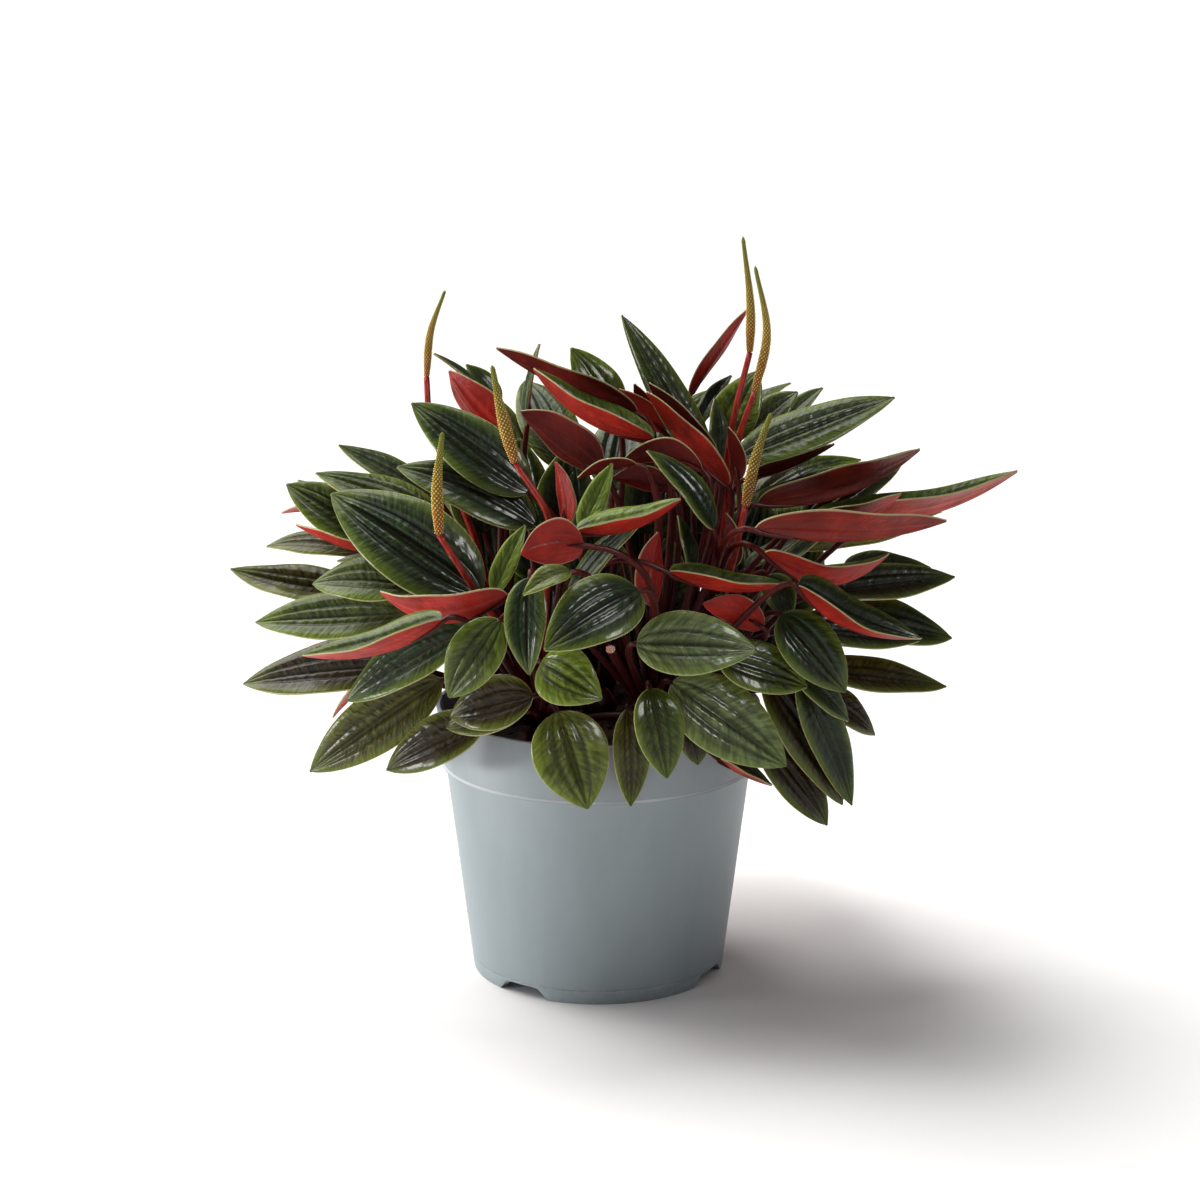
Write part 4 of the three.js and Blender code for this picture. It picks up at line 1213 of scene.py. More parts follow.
@dataclass(frozen=True)
class PotFinish:
    """Matt grey-blue moulded plastic with a fine grain, faint flow clouds and dust marks.

    A pale line along the band's lower edge is a painted highlight.
    """

    colour: str = "848f93"
    pale: str = "8f999d"
    # Colour and strength of the painted highlight along the band's lower edge.
    edge: str = "cdd5d8"
    highlight_line_heights: tuple[float, float] = (0.0791, 0.0799)  # where the painted highlight runs along the band's lower edge, in metres
    highlight_line_blur: float = 0.0003
    edge_share: float = 0.6
    grime: str = "6c7072"
    grime_height: float = 0.012
    grime_share: float = 0.22
    speck_share: float = 0.25
    roughness: float = 0.42
    roughness_drift: float = 0.16

    def material(self) -> bpy.types.Material:
        """Builds the material from noises on the object's place."""
        g = Graph("moulded_plastic")
        spot = g.place()
        height = g.parts(spot)[2]
        clouds = g.noise(g.stretched(spot, 0.35), 26, 4)
        specks = g.noise(spot, 420, 2, 0.8)
        colour = g.mix(g.step(clouds, 0.35, 0.7), linear(self.colour), linear(self.pale))
        low = g.product(g.step(height, self.grime_height, 0.0), g.step(specks, 0.45, 0.65))
        colour = g.laid_over(colour, low, self.grime_share, self.grime)
        start, end = self.highlight_line_heights
        above = g.step(height, start, start + self.highlight_line_blur)
        below = g.step(height, end + self.highlight_line_blur, end)
        # Painted highlight: a pale line along the band's lower edge.
        colour = g.laid_over(colour, g.product(above, below), self.edge_share, self.edge)
        colour = g.laid_over(colour, g.step(specks, 0.74, 0.8), self.speck_share, self.grime)
        rough = g.math("ADD", self.roughness, g.product(clouds, self.roughness_drift))
        relief = g.bump(g.noise(spot, 2600, 2), 0.00012, 0.35)
        return g.shade(Base_Color=colour, Roughness=rough, Normal=relief)


@dataclass(frozen=True)
class CutFinish:
    """Dried cut end of a stalk: pale pinkish flesh with a brown ring."""

    flesh: str = "e0aa92"
    ring: str = "8a4a35"

    def material(self) -> bpy.types.Material:
        """Builds the material from a fine noise."""
        g = Graph("cut_stalk_end")
        speck = g.noise(g.place(), 2200, 3)
        colour = g.mix(g.step(speck, 0.35, 0.6), linear(self.ring), linear(self.flesh))
        return g.shade(Base_Color=colour, Roughness=0.6, Normal=g.bump(speck, 0.0003, 0.8))


# ------------------------------------------------------------------ making meshes


def mesh_of(bm: bmesh.types.BMesh, name: str) -> bpy.types.Mesh:
    """Turns a bmesh into a mesh and frees it."""
    mesh = bpy.data.meshes.new(name)
    bm.to_mesh(mesh)
    bm.free()
    return mesh


def added(name: str, data: bpy.types.ID) -> bpy.types.Object:
    """Adds an object that shows the data to the scene."""
    made = bpy.data.objects.new(name, data)
    bpy.context.collection.objects.link(made)
    return made


@dataclass
class Piece:
    """One finished piece: a bmesh that is shaped, then dressed and tied to the frame."""

    name: str
    materials: list[bpy.types.Material]
    bm: bmesh.types.BMesh = field(default_factory=bmesh.new)

    def finish(self, slot: str, *nodes: str) -> bpy.types.Object:
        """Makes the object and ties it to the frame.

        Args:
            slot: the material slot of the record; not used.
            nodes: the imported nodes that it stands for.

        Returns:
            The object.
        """
        for face in self.bm.faces:
            face.smooth = True
        mesh = mesh_of(self.bm, self.name)
        for material in self.materials:
            mesh.materials.append(material)
        made = added(self.name, mesh)
        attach(made, "root")
        if nodes:
            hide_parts(*nodes)
        triangles = sum(len(face.vertices) - 2 for face in mesh.polygons)
        log.info("%s: %d triangles", self.name, triangles)
        return made


def tube(
    bm: bmesh.types.BMesh,
    path: Array,
    radii: Array,
    around: int,
    relief: Callable[[Array, Array], Array] | None = None,
    first: Array | None = None,
) -> tuple[list[bmesh.types.BMVert], Array, Array]:
    """Wraps a grid round a path and closes its ends.

    Args:
        bm: the mesh that it is added to.
        path: points in millimetres.
        radii: the radius at each.
        around: how many faces go round.
        relief: gives a factor on the radius from the turn and the place along.
        first: the side direction at the start.

    Returns:
        The vertices, and the turn and the place along of each, as 0 to 1.
    """
    steps = len(path) - 1
    verts = bmesh.ops.create_grid(bm, x_segments=around, y_segments=steps, size=1)["verts"]
    flat = np.array([v.co[:2] for v in verts])
    turn, along = (flat[:, 0] + 1) / 2, (flat[:, 1] + 1) / 2
    row = np.rint(along * steps).astype(int)
    sides, others = carried_sides(path, first)
    radius = radii[row] * (relief(turn, along) if relief else 1.0)
    angle = 2 * math.pi * turn
    spoke = sides[row] * np.cos(angle)[:, None] + others[row] * np.sin(angle)[:, None]
    move(verts, path[row] + spoke * radius[:, None])
    return verts, turn, along


def move(verts: list[bmesh.types.BMVert], points: Array) -> None:
    """Puts vertices at points given in millimetres."""
    for vert, point in zip(verts, (points * MM).tolist()):
        vert.co = point


def stain(bm: bmesh.types.BMesh, verts: list[bmesh.types.BMVert], colour: str) -> None:
    """Gives vertices their tone.

    Args:
        bm: the mesh, with its tone layer.
        verts: the vertices.
        colour: their colour, as written in sRGB.
    """
    tone = bm.verts.layers.float_color["tone"]
    shade = (*linear(colour), 1.0)
    for vert in verts:
        vert[tone] = shade


def close_tube(bm: bmesh.types.BMesh, verts: list[bmesh.types.BMVert]) -> None:
    """Closes the seam and the two ends of a wrapped grid."""
    bmesh.ops.remove_doubles(bm, verts=verts, dist=SAME_SPOT)
    edges = [e for v in verts if v.is_valid for e in v.link_edges if e.is_boundary]
    bmesh.ops.holes_fill(bm, edges=list(set(edges)), sides=0)


def turned(bm: bmesh.types.BMesh, profile: Sequence[tuple[float, float]], columns: int) -> None:
    """Turns an outline round the axis into a closed shell.

    Args:
        bm: the mesh that it is added to.
        profile: radii and heights in millimetres.
        columns: how many faces go round.
    """
    verts = [bm.verts.new((radius * MM, 0, height * MM)) for radius, height in profile]
    edges = [bm.edges.new(pair) for pair in zip(verts, verts[1:])]
    bmesh.ops.spin(
        bm, geom=[*verts, *edges], cent=(0, 0, 0), axis=(0, 0, 1),
        angle=math.tau, steps=columns, use_merge=True,
    )
    bmesh.ops.remove_doubles(bm, verts=bm.verts[:], dist=SAME_SPOT)
    bmesh.ops.recalc_face_normals(bm, faces=bm.faces[:])


# ------------------------------------------------------------------ crowns


@dataclass
class BladeForm:
    """The relief of a blade: ridges between sunken veins, puckers across them, thin margin."""

    thickness: float = 0.8
    margin_share: float = 0.5
    margin_power: int = 6  # how late the blade thins and flattens towards its margin
    keel: float = 0.6
    keel_width: float = 0.09
    keel_run: float = 1.05
    vein_widths: tuple[float, ...] = (0.085, 0.075, 0.05)
    vein_depths: tuple[float, ...] = (1.2, 0.85, 0.14)
    ridge: float = 0.14
    ridge_fall: float = 0.55
    foot_fade: float = 0.12
    tip_fade: float = 0.16
    under_relief: float = 0.45  # how much of the relief shows below
    pucker: float = 0.2
    pucker_pitch: float = 3.4
    pucker_floor: float = 0.1  # how high above the veins puckers start
    pucker_half: float = 8  # half width of a blade with full puckers
    pucker_most: float = 1.2
    wave: float = 0.022
    wave_count: float = 1.6
    least_half: float = 0.45
    step_along: float = 0.8
    step_across: float = 0.9
    fewest: tuple[int, int] = (10, 16)
    quick_step: float = 2.2

    def segments(self, leaf: Leaf) -> tuple[int, int]:
        """Gives how many faces lie across and along a blade."""
        coarse = 1.0
        across = round(leaf.width / self.step_across / coarse / 2) * 2
        along = round(leaf.length / self.step_along / coarse)
        return max(self.fewest[0], across), max(self.fewest[1], along)

    def ridges(self, side: Array) -> Array:
        """Gives the height of the ridges across, from 0 in a vein to 1."""
        away = np.abs(side)
        height = 1 - self.ridge_fall * away**4
        for vein, width, depth in zip(VEINS, self.vein_widths, self.vein_depths):
            height = height - depth * np.exp(-(((away - vein) / width) ** 2))
        return height

    def relief(self, leaf: Leaf, t: Array, side: Array, phase: float) -> Array:
        """Gives the height of the upper side over the plain blade, in millimetres."""
        half = leaf.outline(t)
        ends = np.clip(t / self.foot_fade, 0, 1) * np.clip((1 - t) / self.tip_fade, 0, 1)
        bulge = self.ridge * half * self.ridges(side)
        between = np.clip(self.ridges(side) - self.pucker_floor, 0, 1)
        fade = 1 - np.abs(side) ** self.margin_power
        size = self.pucker * np.minimum(half / self.pucker_half, self.pucker_most)
        return (bulge + size * self.puckers(leaf, t, side, phase) * between) * ends * fade

    def puckers(self, leaf: Leaf, t: Array, side: Array, phase: float) -> Array:
        """Gives the swellings between the veins, about -1 to 1: fine and wide waves, both bent."""
        along = t * leaf.length
        out = np.abs(side) * leaf.outline(t)
        half = np.sign(side)
        bend = 1.5 * np.sin(0.23 * along + phase + half)
        bend += 1.1 * np.sin(0.61 * along - 0.4 * out + 2.3 * phase)
        turn = 2 * math.pi / self.pucker_pitch
        fine = np.sin(turn * (along - 0.9 * out) + bend + 1.5 * half)
        wide = np.sin(turn * (0.37 * along + 0.22 * out) + 1.4 * bend + phase)
        return 0.55 * fine + 0.45 * wide

    def middle(self, leaf: Leaf, t: Array, side: Array, phase: float) -> Array:
        """Gives points of the middle surface, its margin gently waved."""
        waved = self.wave * leaf.width * side**2 * np.sin(2 * math.pi * self.wave_count * t + phase)
        base = leaf.surface(t, side, self.least_half)
        return base + leaf.normal * (waved * np.sin(math.pi * t))[:, None]

    def build(self, bm: bmesh.types.BMesh, leaf: Leaf, phase: float) -> None:
        """Adds a blade to a crown.

        Args:
            bm: the crown's mesh, with its blade and tone layers.
            leaf: the leaf.
            phase: sets its puckers apart from its neighbours'.
        """
        across, along = self.segments(leaf)
        lower = bmesh.ops.create_grid(bm, x_segments=across, y_segments=along, size=1)["verts"]
        lower_faces = list({face for vert in lower for face in vert.link_faces})
        made = bmesh.ops.extrude_face_region(bm, geom=lower_faces, use_keep_orig=True)["geom"]
        upper = [g for g in made if isinstance(g, bmesh.types.BMVert)]
        upper_faces = {g for g in made if isinstance(g, bmesh.types.BMFace)}
        for faces, slot in ((lower_faces, 1), (upper_faces, 0)):
            for face in faces:
                face.material_index = slot
        self.shape(bm, lower, leaf, phase, leaf.under.value, -1)
        self.shape(bm, upper, leaf, phase, leaf.top.value, 1)
        shell = list({face for vert in [*lower, *upper] for face in vert.link_faces})
        bmesh.ops.recalc_face_normals(bm, faces=shell)

    def shape(
        self,
        bm: bmesh.types.BMesh,
        verts: list[bmesh.types.BMVert],
        leaf: Leaf,
        phase: float,
        colour: str,
        facing: int,
    ) -> None:
        """Moves the vertices of one side of a blade into place and gives them their tone.

        Args:
            bm: the crown's mesh.
            verts: the vertices of the flat grid.
            leaf: the leaf.
            phase: sets its puckers apart.
            colour: the colour of this side.
            facing: 1 for the upper side, -1 for the underside.
        """
        flat = np.array([v.co[:2] for v in verts])
        side, t = flat[:, 0], (flat[:, 1] + 1) / 2
        relief = self.relief(leaf, t, side, phase)
        thin = self.thickness / 2 * (1 - self.margin_share * np.abs(side) ** self.margin_power)
        if facing > 0:
            height = thin + relief
        else:
            keel = self.keel * np.exp(-((side / self.keel_width) ** 2)) * np.clip(self.keel_run - t, 0, 1)
            height = self.under_relief * relief - thin - keel
        points = self.middle(leaf, t, side, phase) + leaf.normal * height[:, None]
        move(verts, points)
        stain(bm, verts, colour)
        blade = bm.verts.layers.float_vector["blade"]
        for vert, along, across in zip(verts, t.tolist(), side.tolist()):
            vert[blade] = (across, along, leaf.length)


@dataclass
class CrownBuilder:
    """Builds the crowns: each a short stem with its leaves, stalks and flower stalks."""

    leaves: list[Leaf]
    form: BladeForm = field(default_factory=BladeForm)
    phase_step: float = 1.7
    stalk_around: int = 8
    stalk_steps: int = 14
    stalk_radius: float = 1.0
    stalk_dip: float = 0.3
    crown_radius: float = 1.5
    flower_steps: int = 24
    flower_radius: float = 1.05
    flower_foot_radius: float = 1.4
    flower_gap: float = 0.1
    rib_places: tuple[float, ...] = (0.03, 0.07, 0.12, 0.18, 0.26)
    rib_end: float = 0.3
    rib_least: float = 0.25
    rib_depth: float = 0.75
    stem_profile: tuple[tuple[float, float], ...] = (
        (0, 84), (5.6, 84), (6, 86), (6, 95.5), (6.8, 97.6),
        (6.7, 99.4), (5.6, 101.6), (4, 103.8), (1.6, 104.9), (0, 105.2),
    )
    stem_sides: int = 24
    stem_lump: float = 0.1
    stem_lump_size: float = 4

    def build_all(self) -> None:
        """Builds and dresses every crown."""
        finishes = [LeafTopFinish().material(), LeafUndersideFinish().material(), StalkFinish().material()]
        for name in CROWNS:
            self.build(name, finishes)

    def build(self, name: str, finishes: list[bpy.types.Material]) -> bpy.types.Object:
        """Builds one crown.

        Args:
            name: the crown.
            finishes: materials of upper side, underside and stalk.

        Returns:
            The object.
        """
        piece = Piece(f"foliage_{name}", finishes)
        piece.bm.verts.layers.float_vector.new("blade")
        piece.bm.verts.layers.float_color.new("tone")
        self.stem(piece.bm, name)
        for index, leaf in enumerate(self.leaves):
            if leaf.stalk.crown == name:
                self.stalk(piece.bm, leaf)
                self.form.build(piece.bm, leaf, self.phase_step * index)
        for row in FLOWER_SPIKES:
            if row.crown == name:
                self.flower_stalk(piece.bm, row)
        return piece.finish("leaf", f"crown_{name}")

    def stem(self, bm: bmesh.types.BMesh, name: str) -> None:
        """Turns the short stem that stands in the mix."""
        spot = Vector((*CROWNS[name], 0))
        turned(bm, self.stem_profile, self.stem_sides)
        for vert in bm.verts:
            lump = noise.noise(vert.co / (self.stem_lump_size * MM) + spot)
            vert.co.xy *= 1 + self.stem_lump * lump
        bmesh.ops.translate(bm, verts=bm.verts[:], vec=spot * MM)
        stain(bm, bm.verts[:], Stem.LEAF.value)
        for face in bm.faces:
            face.material_index = 2

    def stalk(self, bm: bmesh.types.BMesh, leaf: Leaf) -> None:
        """Runs a stalk from the crown to the blade and on beneath it as its rib."""
        steps = stations(self.stalk_steps)
        free = bezier(leaf.stalk.ends[::-1], steps)
        under = np.array(self.rib_places)
        rib = leaf.spine(under) - leaf.normal * self.rib_depth
        free[-1] = free[-1] - leaf.normal * self.stalk_dip
        radii = self.crown_radius + (self.stalk_radius - self.crown_radius) * steps
        rib_radii = np.maximum(self.stalk_radius * (1 - under / self.rib_end) ** 0.7, self.rib_least)
        self.red_tube(bm, np.concatenate([free, rib]), np.concatenate([radii, rib_radii]), Stem.LEAF)

    def flower_stalk(self, bm: bmesh.types.BMesh, row: FlowerSpikeRow) -> None:
        """Runs a flower spike's stalk from the spike down to its crown."""
        path = flower_stalk(row, stations(self.flower_steps), self.flower_gap)
        radii = np.linspace(self.flower_radius, self.flower_foot_radius, self.flower_steps + 1)
        self.red_tube(bm, path, radii, Stem.FLOWER)

    def red_tube(self, bm: bmesh.types.BMesh, path: Array, radii: Array, red: Stem) -> None:
        """Adds a round red stalk."""
        verts, _, _ = tube(bm, path, radii, self.stalk_around)
        stain(bm, verts, red.value)
        for face in {face for vert in verts for face in vert.link_faces}:
            face.material_index = 2
        close_tube(bm, verts)


# ------------------------------------------------------------------ flower spikes


@dataclass
class SpikeBuilder:
    """Builds the flower spikes with their spiral rows of grains."""

    around: int = 56
    steps_a_row: float = 3.2
    quick_steps_a_row: float = 2
    grains: int = 16
    grain_pitch: float = 0.8
    pit: float = 0.2
    twist: float = 3.0
    base_radius: float = 1.4
    full_radius: float = 2.05
    tip_radius: float = 0.85
    swell: float = 0.22
    taper_from: float = 0.3
    tip_round: float = 0.035
    foot_round: float = 0.01
    relief: float = 0.19

    def radius(self, along: Array) -> Array:
        """Gives the radius at places from joint to tip."""
        fall = np.clip((along - self.taper_from) / (1 - self.taper_from), 0, 1)
        taper = self.full_radius + (self.tip_radius - self.full_radius) * fall * fall * (3 - 2 * fall)
        swell = self.base_radius + (self.full_radius - self.base_radius) * along / self.swell
        rounded = np.minimum(taper, swell)
        tip, foot = np.clip((1 - along) / self.tip_round, 0.02, 1), np.clip(along / self.foot_round, 0.35, 1)
        return rounded * tip**0.5 * foot**0.5

    def grain(self, turn: Array, along: Array, rows: float) -> Array:
        """Gives how high the grains stand, from 0 in a pit to 1.

        Args:
            turn: places round the spike, from 0 to 1.
            along: places from joint to tip.
            rows: how many rows of grains the spike has.

        Returns:
            The height at each pair of places.
        """
        around = np.cos(math.pi * (self.grains * turn + self.twist * along))
        return (np.maximum(around * np.cos(math.pi * rows * along), -self.pit) + self.pit) / (1 + self.pit)

    def build_all(self) -> None:
        """Builds and dresses every spike."""
        finish = SpikeFinish().material()
        for number, row in enumerate(FLOWER_SPIKES, 1):
            self.build(row, number, finish)

    def build(self, row: FlowerSpikeRow, number: int, finish: bpy.types.Material) -> bpy.types.Object:
        """Builds one spike.

        Args:
            row: its places.
            number: its number among the nodes.
            finish: its material.

        Returns:
            The object.
        """
        rough = flower_spike(row, stations(29))
        rows = float(np.linalg.norm(np.diff(rough, axis=0), axis=1).sum()) / self.grain_pitch
        places = stations(round(rows * self.steps_a_row))

        def relief(turn: Array, along: Array) -> Array:
            """Gives the factor on the radius."""
            return 1 + self.relief * (2 * self.grain(turn, along, rows) - 0.95)

        piece = Piece(f"spike_{number}", [finish])
        layer = piece.bm.verts.layers.float_vector.new("grain")
        path, radii = flower_spike(row, places), self.radius(places) * row.girth
        verts, turn, along = tube(piece.bm, path, radii, self.around, relief)
        heights = self.grain(turn, along, rows)
        for vert, place_along, height in zip(verts, along.tolist(), heights.tolist()):
            vert[layer] = (place_along, height, 0)
        close_tube(piece.bm, verts)
        bmesh.ops.recalc_face_normals(piece.bm, faces=piece.bm.faces[:])
        return piece.finish("spike", f"flower_spike_{number}")


@dataclass
class CutStalk:
    """A cut stalk that ends among the front leaves, its pale end towards the viewer."""

    end: Point = (4.5, 121, 76)
    crown: str = "front_right"
    radius: float = 1.6
    steps: int = 14
    around: int = 14
    rise: float = 6
    approach: float = 12
    dip: float = 2
    cap_lengths: tuple[float, float] = (0.3, 0.35)
    cap_shares: tuple[float, float] = (0.8, 0.2)
    cap_edge: float = 0.15

    def build(self) -> bpy.types.Object:
        """Builds the stub and its cut face."""
        end = place(self.end)
        head, out = crown_head(self.crown, end)
        look = unit(VIEWPOINT - end)
        below = end - look * self.approach - UP * self.dip
        path = bezier(np.array([head, head + (out + UP) * self.rise, below, end]), stations(self.steps))
        cap = np.array([end + look * length for length in self.cap_lengths])
        radii = [self.radius] * len(path) + [self.radius * share for share in self.cap_shares]
        piece = Piece("cut_stalk", [StalkFinish().material(), CutFinish().material()])
        piece.bm.verts.layers.float_color.new("tone")
        verts, _, _ = tube(piece.bm, np.concatenate([path, cap]), np.array(radii), self.around)
        stain(piece.bm, verts, Stem.LEAF.value)
        for face in piece.bm.faces:
            if face.calc_center_median().y < (end[1] + self.cap_edge) * MM:
                face.material_index = 1
        close_tube(piece.bm, verts)
        bmesh.ops.recalc_face_normals(piece.bm, faces=piece.bm.faces[:])
        return piece.finish("leaf")


# ------------------------------------------------------------------ pot and potting mix


@dataclass
class Pot:
    """The moulded pot: tapered wall, banded rim, foot ring with four notches, drain holes."""

    height: float = 101
    rim_radius: float = 60
    foot_radius: float = 46.8
    wall: float = 1.6
    band_bottom: float = 78.8
    band_radius: float = 57.4
    band_step: float = 0.8
    bead: float = 0.8  # raised line along the band's lower edge
    bead_lip: float = 0.3
    bead_slope: float = 1.3
    shoulder: float = 1.5  # how far below the band the hollow narrows
    channel: float = 4.5
    disc_radius: float = 18
    disc_slant: float = 2
    floor: float = 1.8
    floor_slant: float = 0.5
    ring_foot: float = 2.2
    ring_top: float = 3
    columns: int = 180
    notch_headings: tuple[float, ...] = (-126.5, -27.5, 58, 150)
    notch_width: float = 21
    notch_slant: float = 3
    notch_height: float = 4
    notch_reach: float = 4
    notched_below: float = 2
    drains: int = 6
    drain_radius: float = 3.5
    drain_circle: float = 32
    drill_length: float = 8
    drill_sides: int = 28
    mark_height: float = 5.2
    mark_half: float = 0.3
    mark_depth: float = 0.35
    rounding: float = 0.28
    rounded_from: float = 40
    sharp: float = 0.6  # the least angle of an edge that is rounded

    def outer(self, height: float) -> float:
        """Gives the outer radius below the band."""
        top = self.band_radius - self.band_step
        return self.foot_radius + (top - self.foot_radius) * height / self.band_bottom

    def band(self, height: float) -> float:
        """Gives the outer radius of the band."""
        share = (height - self.band_bottom) / (self.height - self.band_bottom)
        return self.band_radius + (self.rim_radius - self.band_radius) * share

    def hollow(self, top: float, inset: float) -> list[tuple[float, float]]:
        """Gives the outline of the hollow from a height down to the middle of the floor."""
        low = self.channel + self.floor + inset
        return [
            (self.band(top) - self.wall - inset, top),
            (self.band(self.band_bottom) - self.wall - inset, self.band_bottom),
            (self.outer(self.band_bottom) - self.wall - inset, self.band_bottom - self.shoulder),
            (self.outer(low) - self.wall - inset, low),
            (self.disc_radius + self.floor_slant, low),
            (self.disc_radius - self.disc_slant, self.floor + inset),
            (0, self.floor + inset),
        ]

    def profile(self) -> list[tuple[float, float]]:
        """Gives the closed outline that is turned."""
        mark, half, edge = self.mark_height, self.mark_half, self.band_bottom
        bead, slope = self.band_radius + self.bead, edge + self.bead_slope
        return [
            (0, 0),
            (self.disc_radius, 0),
            (self.disc_radius + self.disc_slant, self.channel),
            (self.foot_radius - self.ring_top, self.channel),
            (self.foot_radius - self.ring_foot, 0),
            (self.foot_radius, 0),
            (self.outer(mark - half), mark - half),
            (self.outer(mark) - self.mark_depth, mark),
            (self.outer(mark + half), mark + half),
            (self.outer(edge), edge),
            (bead, edge),
            (bead, edge + self.bead_lip),
            (self.band(slope), slope),
            (self.rim_radius, self.height),
            *self.hollow(self.height, 0),
        ]

    def build(self) -> bpy.types.Object:
        """Turns, notches, rounds and drills the pot, and dresses it."""
        piece = Piece("nursery_pot", [PotFinish().material()])
        bm = piece.bm
        turned(bm, self.profile(), self.columns)
        self.notch(bm)
        self.round_edges(bm)
        made = piece.finish("pot", "pot")
        self.drill(made)
        return made

    def notch(self, bm: bmesh.types.BMesh) -> None:
        """Raises the lower edge of the foot ring in four wide notches."""
        for vert in bm.verts:
            away = vert.co.xy.length / MM
            if away < self.foot_radius - self.notch_reach or vert.co.z > self.notched_below * MM:
                continue
            along = min(abs(self.across_notch(vert.co, heading)) for heading in self.notch_headings)
            lift = (self.notch_width / 2 - along) / self.notch_slant * self.notch_height
            vert.co.z += min(max(lift, 0), self.notch_height) * MM

    def across_notch(self, point: Vector, heading: float) -> float:
        """Gives how far a point of the foot lies to the side of a notch's middle."""
        turn = math.atan2(point.y, point.x) - math.radians(heading)
        turn = (turn + math.pi) % math.tau - math.pi
        return self.foot_radius * turn

    def round_edges(self, bm: bmesh.types.BMesh) -> None:
        """Rounds the rim, the foot and the edge of the band."""
        sharp = [e for e in bm.edges if len(e.link_faces) == 2 and e.calc_face_angle(0) > self.sharp]
        kept = [e for e in sharp if max(v.co.xy.length for v in e.verts) > self.rounded_from * MM]
        bmesh.ops.bevel(
            bm, geom=kept, offset=self.rounding * MM, offset_type="OFFSET", affect="EDGES",
            segments=2, profile=0.5, material=-1, clamp_overlap=True,
        )
        for vert in bm.verts:
            vert.co.z = max(vert.co.z, 0)

    def drill(self, made: bpy.types.Object) -> None:
        """Cuts the drain holes with a boolean and keeps its result."""
        bm = bmesh.new()
        for index in range(self.drains):
            turn = Matrix.Rotation(math.tau * index / self.drains, 4, "Z")
            spot = Matrix.Translation((self.drain_circle * MM, 0, (self.channel + 1) * MM))
            bmesh.ops.create_cone(
                bm, cap_ends=True, segments=self.drill_sides, radius1=self.drain_radius * MM,
                radius2=self.drain_radius * MM, depth=self.drill_length * MM, matrix=turn @ spot,
            )
        cutter = added("drills", mesh_of(bm, "drills"))
        cut = made.modifiers.new("drains", "BOOLEAN")
        cut.operation, cut.solver, cut.object = "DIFFERENCE", "EXACT", cutter
        graph = bpy.context.evaluated_depsgraph_get()
        made.data = bpy.data.meshes.new_from_object(made.evaluated_get(graph))
        made.modifiers.clear()
        bpy.data.objects.remove(cutter)


@dataclass
class PottingMix:
    """The bed of mix, its top crumbly, with loose crumbs lying on it."""

    pot: Pot
    top: float = 92
    mound: float = 0.8
    lump: float = 0.8
    rings: int = 34
    columns: int = 150
    crumb_relief: float = 1.1
    crumb_pitch: float = 3.1
    crumbs: int = 320
    crumb_size: float = 1.3
    size_draw: float = 0.45
    stretch_draw: float = 0.4
    flatness: float = 0.65
    lift: float = 0.3
    reach: float = 0.94
    seed: int = 11

    def surface(self, x: float, y: float) -> float:
        """Gives the height of the bed: a low mound with broad uneven lumps and fine crumbs."""
        away = math.hypot(x, y) / self.pot.rim_radius
        lumps = math.sin(x * 0.31 + 1.3) * math.cos(y * 0.27 - 0.4) + 0.6 * math.sin(x * 0.53 - y * 0.61)
        smooth = self.top + self.mound * (1 - away * away) + self.lump * lumps * (1 - away**6)
        fine = noise.fractal(Vector((x, y, 0)) / self.crumb_pitch, 0.7, 2.1, 4)
        return smooth + self.crumb_relief * fine

    def build(self) -> bpy.types.Object:
        """Turns the bed, roughens it, scatters its crumbs and dresses it."""
        piece = Piece("potting_mix_bed", [MixFinish().material()])
        wall = self.pot.hollow(self.top, GAP)[::-1]
        radius = wall[-1][0]
        level = [(radius * (1 - ring / self.rings), self.top) for ring in range(1, self.rings + 1)]
        turned(piece.bm, [*wall, *level], self.columns)
        for vert in piece.bm.verts:
            x, y, z = vert.co / MM
            if z > self.top - 0.01:
                vert.co.z = self.surface(x, y) * MM
        self.scatter(piece.bm, radius)
        return piece.finish("mix", "potting_mix")

    def scatter(self, bm: bmesh.types.BMesh, radius: float) -> None:
        """Lays loose crumbs of few faces on the bed."""
        draw = seeded_draws(self.seed)
        for _ in range(self.crumbs):
            away = radius * self.reach * math.sqrt((next(draw) + 1) / 2)
            heading = next(draw) * math.pi
            x, y = away * math.cos(heading), away * math.sin(heading)
            size = self.crumb_size * (1 + self.size_draw * next(draw))
            spot = Matrix.Translation(Vector((x, y, self.surface(x, y) + self.lift * size)) * MM)
            stretch = [1 + self.stretch_draw * next(draw) for _ in range(2)]
            shape = Matrix.Diagonal((*stretch, self.flatness, 1))
            turn = Matrix.Rotation(next(draw) * math.pi, 4, "Z") @ Matrix.Rotation(next(draw), 4, "X")
            bmesh.ops.create_icosphere(bm, subdivisions=1, radius=size * MM / 1.2, matrix=spot @ turn @ shape)


# ------------------------------------------------------------------ stage


@dataclass(frozen=True)
class SoftBox:
    """A rectangular studio light aimed at a point."""

    name: str
    spot: Point
    aim: Point
    size: tuple[float, float]
    watts: float
    glints_only: bool = False
    colour: Rgb = (1.0, 1.0, 1.0)

    def build(self) -> bpy.types.Object:
        """Builds the light."""
        light = bpy.data.lights.new(self.name, "AREA")
        light.shape, (light.size, light.size_y) = "RECTANGLE", self.size
        light.energy, light.color = self.watts, self.colour
        made = added(self.name, light)
        made.location = self.spot
        made.visible_diffuse = not self.glints_only
        made.rotation_euler = (Vector(self.aim) - Vector(self.spot)).to_track_quat("-Z", "Y").to_euler()
        return made


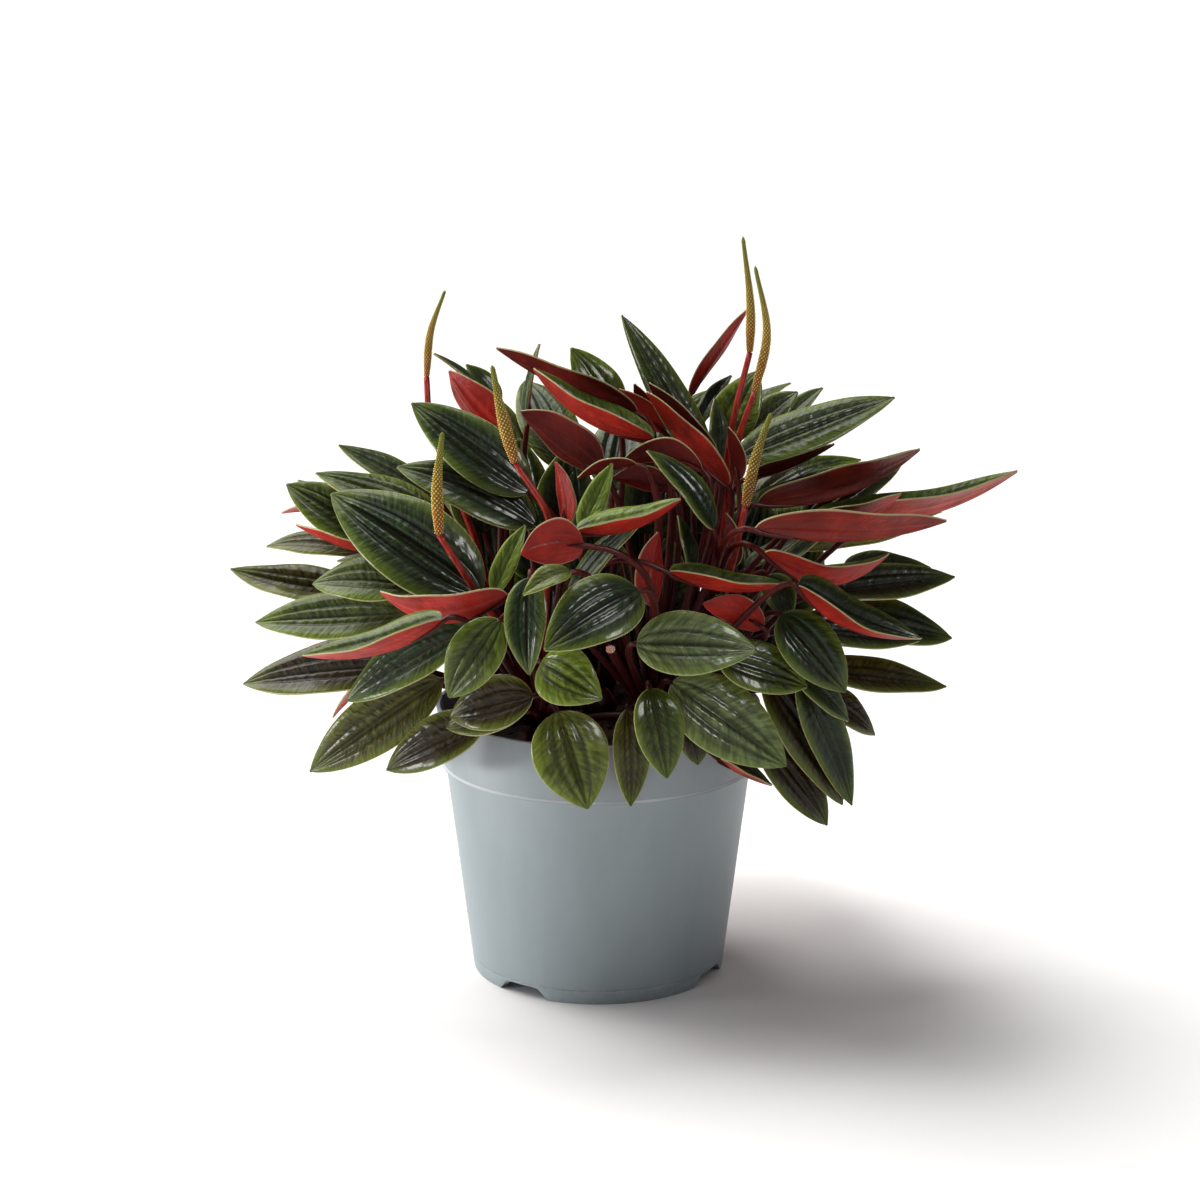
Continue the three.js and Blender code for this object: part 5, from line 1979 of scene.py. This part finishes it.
@dataclass(frozen=True)
class WideKey:
    """The key light: even over the whole floor, with a soft edge to its shadows."""

    heading: float = 142.0  # where it comes from, in degrees from +X and above the floor
    height: float = 45.5
    spread: float = 56.0
    strength: float = 4.5
    colour: Rgb = (1.0, 0.985, 0.96)

    def build(self) -> bpy.types.Object:
        """Builds the light."""
        light = bpy.data.lights.new("key", "SUN")
        light.energy, light.color, light.angle = self.strength, self.colour, math.radians(self.spread)
        made = added("key", light)
        heading, height = math.radians(self.heading), math.radians(self.height)
        level = math.cos(height)
        toward = Vector((math.cos(heading) * level, math.sin(heading) * level, math.sin(height)))
        made.rotation_euler = toward.to_track_quat("Z", "Y").to_euler()
        return made


@dataclass
class Stage:
    """Plain pale floor, soft light from the upper left, and the camera."""

    camera_spot: Point = (0.00066, -1.0, 0.3768)
    camera_pitch: float = 76.65
    lens: float = 84.04
    sensor: float = 36
    clip: tuple[float, float] = (0.05, 100)
    floor_size: float = 30.0
    floor_colour: Rgb = (0.9, 0.9, 0.9)
    floor_roughness: float = 0.9
    floor_specular: float = 0.1
    surround: float = 0.2
    sheen: float = 0.015  # what the surround adds to reflections
    key: WideKey = field(default_factory=WideKey)
    boxes: tuple[SoftBox, ...] = (
        SoftBox("top", (-0.1, 0.1, 1.5), (0, 0, 0.14), (0.45, 0.45), 7),
        SoftBox("low_left", (-1.0, -0.15, 0.08), (0, 0, 0.06), (0.3, 0.12), 6),
        SoftBox("glint", (0.62, -1.0, 1.05), (0.03, 0, 0.1), (0.5, 0.4), 24, glints_only=True),
    )

    def build(self) -> None:
        """Builds floor, surround, lights and camera."""
        self.floor()
        self.world()
        self.key.build()
        for box in self.boxes:
            box.build()
        self.camera()

    def floor(self) -> None:
        """Lays the floor."""
        bm = bmesh.new()
        bmesh.ops.create_grid(bm, x_segments=1, y_segments=1, size=self.floor_size)
        mesh = mesh_of(bm, "floor")
        finish = Graph("pale_floor").shade(
            Base_Color=self.floor_colour,
            Roughness=self.floor_roughness,
            Specular_IOR_Level=self.floor_specular,
        )
        mesh.materials.append(finish)
        added("floor", mesh)

    def world(self) -> None:
        """Surrounds the stage with white that lights it softly."""
        world = bpy.data.worlds.new("surround")
        world.use_nodes = True
        tree = world.node_tree
        rays = tree.nodes.new("ShaderNodeLightPath")
        shown = tree.nodes["Background"]
        for name, strength in (("Is Glossy Ray", self.sheen), ("Is Diffuse Ray", self.surround)):
            light = tree.nodes.new("ShaderNodeBackground")
            light.inputs["Color"].default_value = (1, 1, 1, 1)
            light.inputs["Strength"].default_value = strength
            either = tree.nodes.new("ShaderNodeMixShader")
            tree.links.new(rays.outputs[name], either.inputs[0])
            tree.links.new(shown.outputs[0], either.inputs[1])
            tree.links.new(light.outputs[0], either.inputs[2])
            shown = either
        tree.nodes["Background"].inputs["Color"].default_value = (1, 1, 1, 1)
        tree.links.new(shown.outputs[0], tree.nodes["World Output"].inputs["Surface"])
        bpy.context.scene.world = world

    def camera(self) -> None:
        """Sets the camera up."""
        lens = bpy.data.cameras.new("camera")
        lens.lens, lens.sensor_width = self.lens, self.sensor
        lens.clip_start, lens.clip_end = self.clip
        made = added("camera", lens)
        made.location = self.camera_spot
        made.rotation_euler = (math.radians(self.camera_pitch), 0, 0)
        bpy.context.scene.camera = made


# ------------------------------------------------------------------ assembly


def main() -> None:
    """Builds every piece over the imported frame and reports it."""
    logging.basicConfig(level=logging.INFO, format="%(name)s %(message)s")
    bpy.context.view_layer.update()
    bpy.context.scene.view_settings.view_transform = "Standard"
    Stage().build()
    laid = [*InnerRows().leaves(), *RearFan().leaves(), *(Leaf.in_view(row) for row in LEAVES_IN_VIEW)]
    leaves = ClumpFitter().fitted(laid)
    log.info("fitted %d leaves", len(leaves))
    pot = Pot()
    pot.build()
    PottingMix(pot).build()
    CrownBuilder(leaves).build_all()
    SpikeBuilder().build_all()
    CutStalk().build()


if __name__ == "__main__":
    main()
